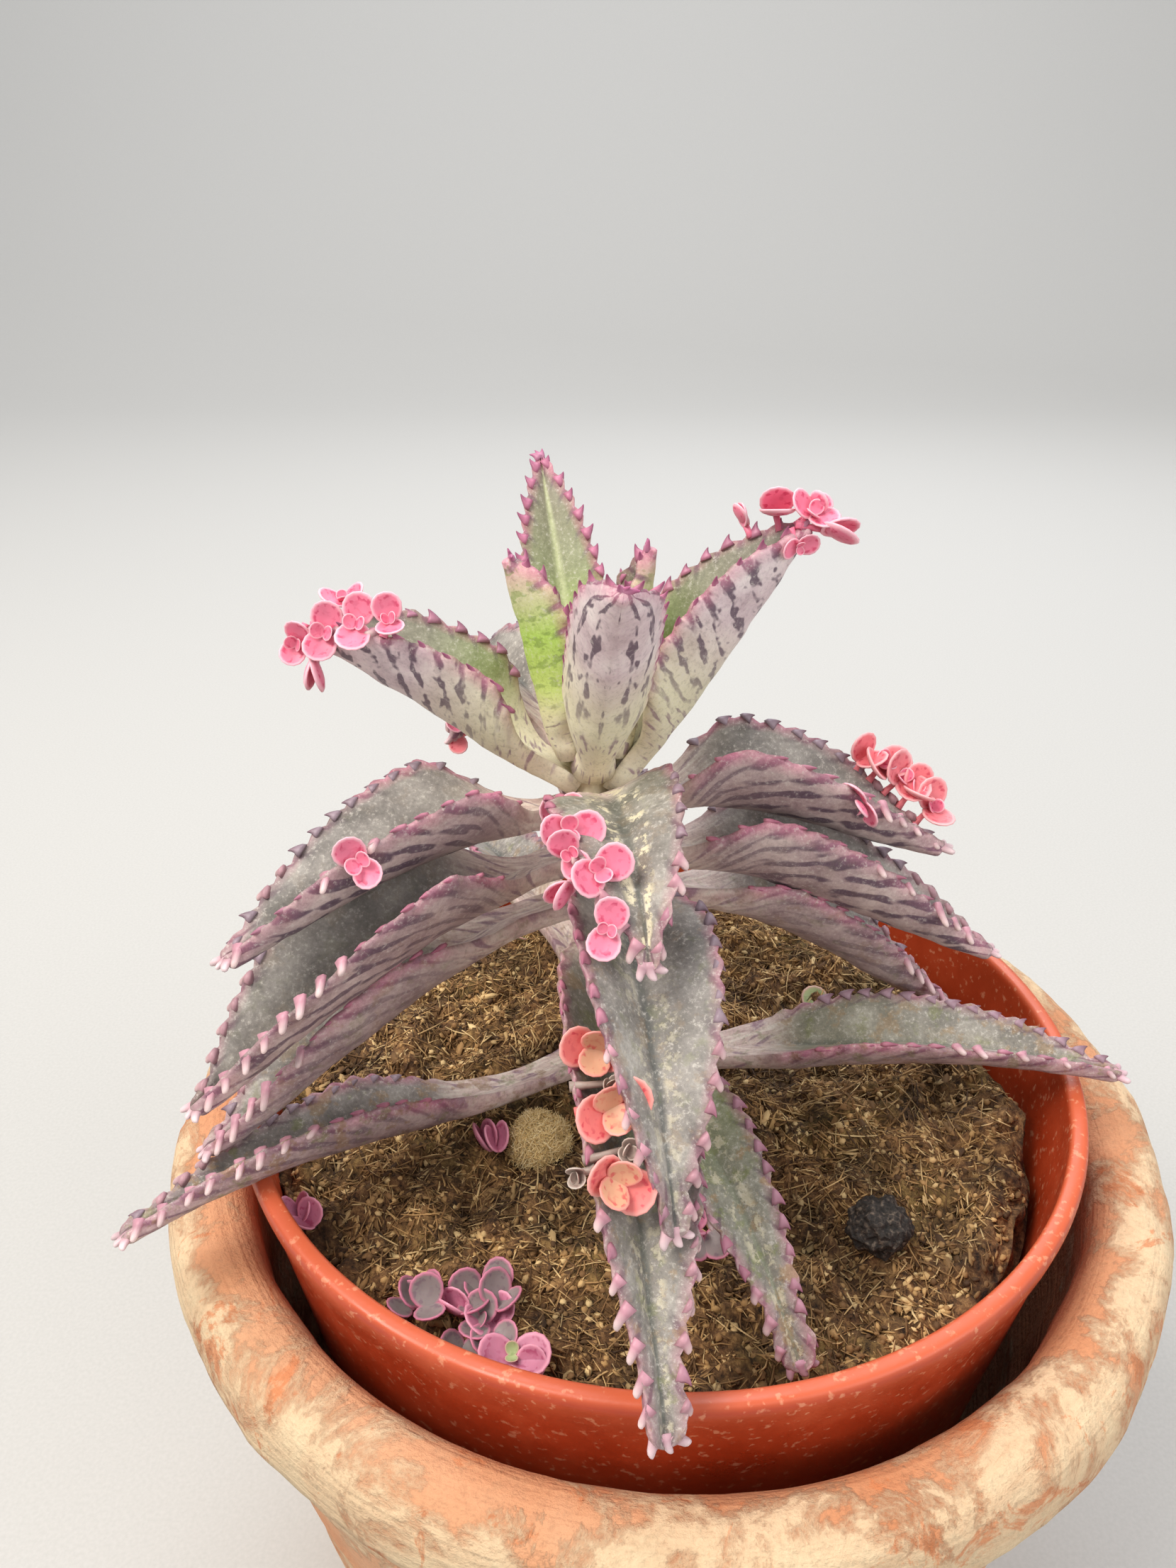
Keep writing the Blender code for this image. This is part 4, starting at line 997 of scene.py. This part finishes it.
def chopped_fibre(name, darkest, *tones):
    # Dry chopped coir or straw: matt, every strand with a tone of its own; on the coir, broad
    # patches of painted shade.
    material, add, place = start_material(name, 0.8, 1.45)
    tint = add("ramp", add("attribute", output="Fac", attribute_name="strand_shade"), *tones)
    # broad patches of painted shade, down to darkest; straw has darkest 1.0 and stays even
    patchy_painted_shade = add("ramp", add("noise", place, per_metre(8.0), 3.0), (0.38, darkest), (0.55, 1.0))
    return finish_material(material, add("shade", 1.0, tint, patchy_painted_shade))


COIR_SOIL = coir_soil()
COIR = chopped_fibre("chopped_coir", 0.5, (0.0, "#4A321D"), (0.4, "#8C6840"), (0.75, "#BE9762"),
                     (1.0, "#E2C48E"))
STRAW = chopped_fibre("dry_straw", 1.0, (0.0, "#CBAA6E"), (0.5, "#E6CA90"), (1.0, "#F5E2B4"))
soil = make_piece("fine_soil", soil_shell(90, 240, with_sides=True), COIR_SOIL)
dress(soil, "peat", "soil")
print("soil faces:", len(soil.data.polygons))

# %% [markdown]
# ## Fibres, chips and crumbs
# One scattering tree serves them all: it spreads points over a surface, puts a small part on each,
# turns and sizes each by chance from a fixed seed, and gives each a shade of its own.

# %% The scattering tree


def scattering_tree():
    tree, add, given = start_tree("scattering", {
        "Part": "Object", "Density": "Float", "Tilt": "Float", "Smallest": "Vector",
        "Largest": "Vector", "Seed": "Int", "Material": "Material"})
    seed = given["Seed"]
    points = add("spread", given["Geometry"], given["Density"], seed).outputs
    low = add("times", given["Tilt"], -1.0)
    angles = add("vector", add("join", low, low, 0.0),
                 add("join", given["Tilt"], given["Tilt"], 2 * math.pi), seed)
    turned = add("turned", points["Rotation"], add("turn", angles))
    sizes = add("vector", given["Smallest"], given["Largest"], seed)
    placed = add("placed", points["Points"], add("part", given["Part"]), turned, sizes)
    noted = add("noted", placed, "strand_shade", add("number", 0.0, 1.0, seed))
    add("result", add("painted", add("real", noted), given["Material"]))
    return tree


def strand_part(bend, stations=(-0.5, -0.2, 0.15, 0.5)):
    """A three-sided strand of length 1 and radius 1, bent like a bow."""
    rows = []
    for x in stations:
        thick, bow = 1.0 if abs(x) < 0.4 else 0.45, bend * (0.25 - x * x)
        rows += [(x, 4 * bow + thick * math.cos(2.1 * k), bow + thick * math.sin(2.1 * k))
                 for k in range(3)]
    return Shell(rows, ring_faces(len(stations), 3))


def chip_part():
    """A flat, six-cornered flake about 1 across."""
    corners = [(0.5, 0.1), (0.2, 0.32), (-0.35, 0.28), (-0.5, -0.05), (-0.2, -0.3), (0.3, -0.22)]
    rows = [(x, y, z + 0.12 * x * x) for z in (-0.06, 0.06) for x, y in corners]
    return Shell(rows, ring_faces(2, 6))


def crumb_part():
    """An uneven little ball about 1 across."""
    rows = [(0.5 * r * math.cos(a + z), 0.5 * r * math.sin(a + z), 0.5 * z)
            for z, r in ((-0.8, 0.4), (-0.2, 0.95), (0.4, 0.85), (0.9, 0.3)) for a in circle(5)]
    return Shell(rows, ring_faces(4, 5))


SCATTERING = scattering_tree()


def scatter(name, part_shell, carrier_shell, material, density, tilt, smallest, largest, seed):
    """Scatter a part over a shell; sizes in millimetres, density in pieces per square cm."""
    carrier = make_piece("carrier", carrier_shell, material)
    return grow(name, SCATTERING, part_shell, carrier, material, Density=density * 1e4, Tilt=tilt,
                Smallest=[v * MM for v in smallest], Largest=[v * MM for v in largest], Seed=seed)


# %% Soil litter
LITTER = (
    ("long_fibres", strand_part(3.0), 0.92, 38, 0.3, (3.0, 0.07, 0.07), (8.0, 0.15, 0.15), 4),
    ("short_fibres", strand_part(1.5, (-0.5, 0.0, 0.5)), 0.97, 110, 0.6, (1.2, 0.08, 0.08),
     (3.6, 0.2, 0.2), 5),
    ("bark_chips", chip_part(), 0.97, 14, 0.5, (1.2, 0.7, 0.8), (3.6, 1.9, 1.6), 6),
    ("soil_crumbs", crumb_part(), 0.99, 40, 1.5, (0.5, 0.5, 0.5), (1.6, 1.4, 1.2), 7),
)
for name, part_shell, reach, *values in LITTER:
    piece = scatter(name, part_shell, soil_shell(50, 140, reach), COIR, *values)
    dress(piece, "peat")
    print(name, len(piece.data.polygons))

# %% [markdown]
# ## What lies on the soil
# Dropped plantlets, a ball of straw-coloured fibre and a dark burnt-looking lump. The plantlets
# use the round leaf from before. Each lump is a ball of rings that noise pushes in and out, which
# a few numbers can steer, where a sculpted one would have to be done by hand.

# %% Fallen plantlets
Fallen = namedtuple("Fallen", "x y width spread light opening inner tints")
MAUVE, GREEN, PALE = ("mauve", "mauve"), ("greenish",) * 2, ("fallen_pink", "mauve")
FALLEN = {
    "01": ((-33, -42.2, 3.7, 60, 0.8, 50, 0, MAUVE), (-30, -43.6, 4.2, 100, 0.9, 55, 0, MAUVE),
           (-27.2, -42.6, 4.3, 70, 0.55, 22, 0, PALE), (-23.4, -39.8, 4.3, 50, 0.8, 60, 0, MAUVE),
           (-21.4, -42, 4.4, 130, 0.85, 45, 0, MAUVE), (-24.2, -44.6, 4.3, 80, 0.9, 60, 0.5, MAUVE),
           (-22.2, -46.6, 4, 20, 0.8, 60, 0, MAUVE), (-26, -47, 4, -20, 0.7, 60, 0, MAUVE),
           (-20, -48.8, 4.8, 0, 0.9, 78, 0.35, ("fallen_pink", "greenish")),
           (-31.4, -41, 4.2, 20, 0.8, 48, 0, MAUVE), (-25.4, -41.6, 4.6, 110, 0.9, 50, 0, MAUVE),
           (-22.8, -43.6, 4.5, 40, 0.8, 55, 0, PALE), (-18.4, -50.6, 4, 70, 0.8, 60, 0, PALE)),
    "02": ((-25.6, -15.2, 5, 40, 0.5, 24, 0, PALE), (-24, -16.6, 4.4, 20, 0.7, 30, 0, PALE)),
    "03": ((-49.2, -27.8, 4.4, 30, 0.6, 35, 0, PALE), (-47.6, -29.4, 4, 70, 0.7, 40, 0, PALE)),
    "04": ((1.6, -31, 4.8, 80, 0.7, 40, 0.4, PALE), (3.4, -33.6, 4.6, 10, 0.8, 60, 0, MAUVE)),
    "05": ((26, 17, 4.8, 85, 0.75, 70, 0, GREEN),),
    "06": ((-23, 34.6, 4.4, 70, 0.7, 50, 0.4, GREEN), (-19.6, 34.2, 4.2, 30, 0.7, 60, 0, PALE)),
}
for group, rows in FALLEN.items():
    marks = []
    for row in (Fallen(*values) for values in rows):
        root = Vector((row.x, row.y, float(soil_top(row.x, row.y)[0]) + 0.9)) * MM
        axis = TO_THE_LIGHT * 0.55 * row.light + Vector((0, 0, 1))
        marks += plantlet_marks(root, axis, light_way(row.spread), row.width, row.opening,
                                row.inner, row.tints)
    piece = grow("fine_fallen_" + group, SETTING_OUT, round_leaf_part(), marked_points(marks),
                 PLANTLET_SKIN, Unevenness=0.08, Seed=2)
    dress(piece, "plantlet_pink", "fallen_plantlets_" + group)
print("patches of fallen plantlets:", len(FALLEN))

# %% Ball of straw and dark lump


def lump_shell(x, y, radius, flatness, size_mm, height_mm, seed, steps=36):
    """A rough ball that lies on the soil."""
    rows = [(math.sin(polar) * math.cos(turn), math.sin(polar) * math.sin(turn), -math.cos(polar))
            for polar in np.linspace(0.02, math.pi - 0.02, steps // 2)
            for turn in np.linspace(0, 2 * math.pi, steps, endpoint=False)]
    ball = np.array(rows) * radius * MM
    bumps = sum(rough(ball, size_mm / k, height_mm / k, seed) for k in (1.0, 2.2, 4.5))
    ball = ball * (1 + bumps[:, None] / (radius * MM))
    ball[:, 2] *= flatness
    lift = (float(soil_top(x, y)[0]) - 0.4) * MM - ball[:, 2].min()
    return Shell(ball + np.array((x * MM, y * MM, lift)), ring_faces(steps // 2, steps))


def charred_bark():
    # Burnt, wet bark: nearly black, with rough little plates that catch the light.
    material, add, place = start_material("charred_bark", 0.75, 1.45)
    plates = add("cells", place, per_metre(1.1))
    grit = add("noise", place, per_metre(0.6), 5.0)
    tint = add("ramp", grit, (0.35, "#171310"), (0.55, "#332C27"), (0.72, "#6E6053"))
    return finish_material(material, tint, add("plus", plates, grit), 1.0, 0.5)


BALL = (0.92, 2.0, 0.2, 1)
ball = make_piece("fine_fibre_ball", lump_shell(-18.0, -16.4, 3.6, *BALL), STRAW)
dress(ball, "straw", "fibre_ball")
for name, bend, density, tilt, longest, seed in (("ball_fibres", 1.5, 1500, 0.5, 4.2, 9),
                                                 ("ball_fuzz", 2.5, 400, 1.2, 3.0, 12)):
    fuzz = scatter(name, strand_part(bend), lump_shell(-18.0, -16.4, 3.7, *BALL), STRAW, density,
                   tilt, (1.5, 0.05, 0.05), (longest, 0.08, 0.08), seed)
    dress(fuzz, "straw")
clump = make_piece("fine_dark_clump", lump_shell(25.4, -32.3, 3.8, 0.85, 1.9, 0.5, 3, 84),
                   charred_bark())
dress(clump, "charred_bark", "dark_clump")
print("ball strands:", len(fuzz.data.polygons))

# %% [markdown]
# ## Turned pieces
# Both pots and the stem are round about an upright axis, so each is an outline turned about it, as
# on a wheel. The corners of an outline are rounded by cutting each corner off.

# %% Turning


def soften(outline):
    """Cut each corner of an open outline, which rounds it."""
    finer = [outline[0]]
    for (r0, z0), (r1, z1) in zip(outline, outline[1:]):
        finer += [(0.8 * r0 + 0.2 * r1, 0.8 * z0 + 0.2 * z1),
                  (0.2 * r0 + 0.8 * r1, 0.2 * z0 + 0.8 * z1)]
    return finer + [outline[-1]]


def divide(outline, longest):
    """Split long runs of an outline so that a rough surface has points to move."""
    finer = [outline[0]]
    for a, b in zip(outline, outline[1:]):
        parts = max(1, math.ceil(math.dist(a, b) / longest))
        finer += [(a[0] + (b[0] - a[0]) * k / parts, a[1] + (b[1] - a[1]) * k / parts)
                  for k in range(1, parts + 1)]
    return finer


def turned_shell(outline, centre, steps, ends="capped"):
    """Turn an outline of (radius, height) in millimetres about an upright axis."""
    angle = np.linspace(0, 2 * np.pi, steps, endpoint=False)
    rows = [np.stack([centre[0] + r * np.cos(angle), centre[1] + r * np.sin(angle),
                      np.full(steps, z)], axis=1) for r, z in outline]
    return Shell(np.vstack(rows) * MM, ring_faces(len(outline), steps, ends))


print("a softened corner:", soften([(0, 0), (1, 0), (1, 1)]))

# %% [markdown]
# ## Clay pot
# Fired clay, thrown by hand: the rim is uneven and carries fine turning lines, and salts from the
# water have left a cream bloom and rusty stains on it. The dents are moved points, so that they
# show in the outline; the salts and the grain are nodes, because they are too shallow to model.

# %% Material: fired clay


def fired_clay():
    # Fired clay: dry and grainy, orange under a peeling crust of cream salts. Its grit is finer
    # than 0.5 mm in life, too fine to show, so it is drawn at 0.8 mm.
    material, add, place = start_material("fired_clay", 0.9, 1.5)
    broad = add("noise", place, per_metre(30.0), 4.0)
    blots = add("noise", place, per_metre(13.0), 9.0, 0.7, 0.4)
    grain = add("noise", place, per_metre(0.8), 4.0, 0.7)
    body = add("ramp", broad, (0.3, "#C07F56"), (0.5, "#CC9068"), (0.7, "#D6A580"))
    x, y, z = add("split", place).outputs
    radius = add("root", add("plus", add("times", x, x), add("times", y, y)))
    salts = add("plus", blots, add("range", radius, 62 * MM, 71 * MM, -0.07, 0.05))
    bloom = add("ramp", salts, (0.46, 0.0), (0.5, 0.35), (0.54, 0.65), (0.66, 0.88))
    body = add("blend", bloom, body, "#DCC6A2")
    rust = add("noise", place, per_metre(9.0), 6.0, 0.7, 0.6)
    for tint, stops in (("#C9794A", ((0.58, 0.0), (0.63, 0.75))),
                        ("#A98560", ((0.3, 0.35), (0.4, 0.0)))):
        body = add("blend", add("ramp", rust, *stops), body, tint)
    body = add("shade", 1.0, body, add("ramp", grain, (0.3, 0.8), (0.5, 0.97), (0.65, 1.0)))
    # turning lines about 1 mm apart run round the pot, so they depend on radius and height only
    lines = add("noise", add("join", radius, z), per_metre(1.1), 2.0)
    height = add("plus", grain, add("times", bloom, 1.3))
    return finish_material(material, body, add("plus", height, add("times", lines, 1.2)), 0.8, 0.45)


# %% Clay pot
RIM_FOOT, CREST, LIP_RADIUS, ROLL_RADIUS = 99.1, 108.6, 61.2, 72.7


def clay_outline():
    """Foot, wall, bead, a boxy rolled rim and the inside, as one closed run."""
    half = (ROLL_RADIUS - LIP_RADIUS) / 2
    roll = []
    for angle in np.radians(np.linspace(-20, 180, 13)):
        c, s = math.cos(angle), math.sin(angle)
        boxy = (abs(c) ** 2.6 + abs(s) ** 2.6) ** (-1 / 2.6)
        roll.append((LIP_RADIUS + half + half * c * boxy,
                     RIM_FOOT + 2.0 + (CREST - RIM_FOOT - 2.0) * s * boxy))
    return [(6.5, 0.0), (50.5, 0.0), (52.0, 1.5), (68.0, RIM_FOOT - 6.0), (70.2, RIM_FOOT - 3.6),
            (69.4, RIM_FOOT - 0.6), *roll, (60.2, RIM_FOOT - 12.0), (47.5, 12.0), (44.5, 8.0),
            (6.5, 8.0)]


# the clay is uneven, and only inwards, so that it stays within its size
points, faces, _ = turned_shell(divide(soften(clay_outline()), 1.5), (0, 0), 240, "joined")
uneven = sum(rough(points, size, height, seed)
             for size, height, seed in ((18.0, 0.35, 1), (6.0, 0.18, 2), (1.8, 0.08, 3)))
inward = np.minimum(uneven - 0.3 * MM, 0.0) * np.clip(points[:, 2] / (10 * MM) - 0.2, 0, 1)
points[:, :2] *= 1 + (inward / np.hypot(points[:, 0], points[:, 1]))[:, None]
points[:, 2] += np.where(points[:, 2] > 90 * MM, inward, 0.0)
clay_pot = make_piece("fine_clay_pot", Shell(points, faces), fired_clay())
dress(clay_pot, "terracotta", "clay_pot")
print("clay pot faces:", len(clay_pot.data.polygons))

# %% [markdown]
# ## Nursery pot
# Moulded polypropylene: smooth and a little glossy, with specks of dust, painted light on the top
# of the lip, and six drain holes.
# Wall and lip are turned from one outline, as the mould makes them in one piece. The holes could be
# left out of the mesh's rings, but a Boolean cuts them round wherever they lie.

# %% Material: polypropylene


def moulded_polypropylene():
    # Moulded plastic: even colour, soft gloss, specks of dust and hard-water spots, and painted
    # light on the lip.
    material, add, place = start_material("moulded_polypropylene", 0.35, 1.49)
    height = add("split", place).outputs["Z"]
    cloud = add("noise", place, per_metre(10.0), 5.0, 0.65)
    specks = add("noise", place, per_metre(1.1), 3.0)
    body = add("ramp", cloud, (0.3, "#A23416"), (0.55, "#B23F1D"), (0.75, "#BE4E29"))
    # painted light: the top of the lip is painted paler, as if lit from above
    top = add("range", height, (RIM_HEIGHT - 0.9) * MM, RIM_HEIGHT * MM)
    body = add("blend", top, body, "#C65C3A")
    body = add("blend", add("ramp", specks, (0.6, 0.0), (0.68, 0.5)), body, "#DE9C78")
    return finish_material(material, body, specks, 0.15, 0.2,
                           add("ramp", cloud, (0.3, 0.26), (0.7, 0.5)))


# %% Nursery pot
WALL = 1.6


def nursery_outline():
    """The lip is rounded outside and runs smoothly into the wall."""
    lip_foot, floor = RIM_HEIGHT - 5.0, POT_FOOT + WALL
    return [(0.05, POT_FOOT), (41.0, POT_FOOT), (42.0, POT_FOOT + 1.0),
            (pot_outer_radius(lip_foot - 4), lip_foot - 4), (59.5, lip_foot + 1.0),
            (60.0, RIM_HEIGHT - 1.4), (59.7, RIM_HEIGHT - 0.2), (59.0, RIM_HEIGHT),
            (57.9, RIM_HEIGHT), (57.5, RIM_HEIGHT - 0.5), (57.2, lip_foot),
            (pot_outer_radius(lip_foot - 6) - WALL, lip_foot - 6),
            (pot_outer_radius(floor) - WALL, floor), (0.05, floor)]


def cut_holes(pot, count, circle_radius, radius, height):
    """Cut upright round holes with one Boolean each, as drills would."""
    for angle in circle(count):
        centre = POT_CENTRE + circle_radius * np.array((math.cos(angle), math.sin(angle)))
        outline = [(radius, height - 4), (radius, height + 4)]
        drill = make_piece("drill", turned_shell(outline, centre, 24), pot.data.materials[0])
        cut = pot.modifiers.new("hole", "BOOLEAN")
        cut.operation, cut.object, cut.solver = "DIFFERENCE", drill, "EXACT"
        graph = bpy.context.evaluated_depsgraph_get()
        pot.data = bpy.data.meshes.new_from_object(pot.evaluated_get(graph))
        pot.modifiers.clear()
        bpy.data.objects.remove(drill, do_unlink=True)


nursery_pot = make_piece("fine_nursery_pot",
                         turned_shell(soften(nursery_outline()), POT_CENTRE, 200),
                         moulded_polypropylene())
cut_holes(nursery_pot, 6, 26.0, 3.5, POT_FOOT + 0.8)
dress(nursery_pot, "orange_plastic", "nursery_pot")
print("nursery pot faces:", len(nursery_pot.data.polygons))

# %% [markdown]
# ## Stem
# Green wood under a thin skin, ringed where pairs of leaves join it, with a bud on top. The rings
# could be separate hoops, but a swelling in the turned outline joins the bark without a seam.

# %% Stem


def corky_stem_skin():
    # Corky young bark: matt beige, paler at the top, with fine cracks along it.
    material, add, place = start_material("corky_stem_skin", 0.7, 1.45)
    cracks = add("noise", add("stretch", place, (1.0, 1.0, 0.25)), per_metre(0.9), 5.0)
    height = add("split", place).outputs["Z"]
    old = add("ramp", cracks, (0.3, "#7A6552"), (0.5, "#AB937C"), (0.7, "#C9B79A"))
    young = add("ramp", cracks, (0.3, "#CBB99A"), (0.6, "#E6DCBE"))
    top = add("range", height, (RIM_HEIGHT + 22) * MM, (RIM_HEIGHT + 38) * MM)
    return finish_material(material, add("blend", top, old, young), cracks, 0.6, 0.3)


outline = [(0.05, SOIL_LEVEL - 22.0), (3.0, SOIL_LEVEL - 21.0)]
joints = sorted({leaf.height for leaf in LEAVES})
for height in np.linspace(-9.0, 47.0, 113):
    swelling = max(0.6 * math.exp(-((height - joint) / 0.9) ** 2) for joint in joints)
    outline.append((float(stem_radius(RIM_HEIGHT + height)) + swelling - 0.1, RIM_HEIGHT + height))
outline += [(1.9, STEM_TOP + 1.5), (1.2, STEM_TOP + 4.0), (0.05, STEM_TOP + 6.4)]
stem = make_piece("fine_stem", turned_shell(outline, STEM_PLACE, 32), corky_stem_skin())
dress(stem, "stem", "stem")
print("stem faces:", len(stem.data.polygons))

# %% [markdown]
# ## Floor and light
# A plain pale sheet that curves up behind, and soft light from large lamps, as in a studio. A
# small lamp would cast hard shadows; a large one close by wraps its light round the leaves.

# %% Floor


def matt_paper():
    # Backdrop paper: pale, even and without gloss, with a faint tooth.
    material, add, place = start_material("matt_backdrop_paper", 0.95, 1.45)
    tooth = add("noise", place, per_metre(0.8), 2.0)
    return finish_material(material, add("ramp", tooth, (0.3, "#B3B1AD"), (0.7, "#B9B7B3")))


sweep = [(-2.5, 0.0), (1.2, 0.0)]
sweep += [(1.2 + math.sin(a), 1.0 - math.cos(a)) for a in np.linspace(0.1, 1.57, 16)]
sweep.append((2.2, 3.5))
rows = [(x, y, z) for y, z in sweep for x in (-4.0, 4.0)]
faces = [(2 * i, 2 * i + 1, 2 * i + 3, 2 * i + 2) for i in range(len(sweep) - 1)]
floor = make_piece("floor", Shell(rows, faces), matt_paper())
print("floor faces:", len(faces))

# %% Lights


def soft_box(name, place, aim, size, watts, tint):
    lamp = bpy.data.lights.new(name, "AREA")
    lamp.shape, lamp.size, lamp.energy, lamp.color = "SQUARE", size, watts, colour(tint)[:3]
    obj = put_in_scene(name, lamp)
    obj.location = place
    obj.rotation_euler = (Vector(aim) - Vector(place)).to_track_quat("-Z", "Y").to_euler()


soft_box("window", (-0.55, -0.25, 1.0), (0, 0, 0.13), 0.55, 12.0, "#FFF9F0")
soft_box("fill", (0.75, -0.55, 0.6), (0, 0, 0.13), 0.8, 4.5, "#FFFFFF")
soft_box("back", (0.2, 0.8, 0.8), (0, 0, 0.13), 0.7, 4.0, "#F4F8FF")
soft_box("backdrop", (0.0, 0.9, 2.3), (0, 2.2, 0.9), 1.2, 36.0, "#F4F8FF")
world = bpy.data.worlds.new("pale_room")
world.use_nodes = True
backdrop = world.node_tree.nodes["Background"].inputs
backdrop["Color"].default_value = colour("#E2E3E4")
backdrop["Strength"].default_value = 0.8
bpy.context.scene.world = world
bpy.context.scene.view_settings.view_transform = "Standard"
print("lamps:", len(bpy.data.lights))
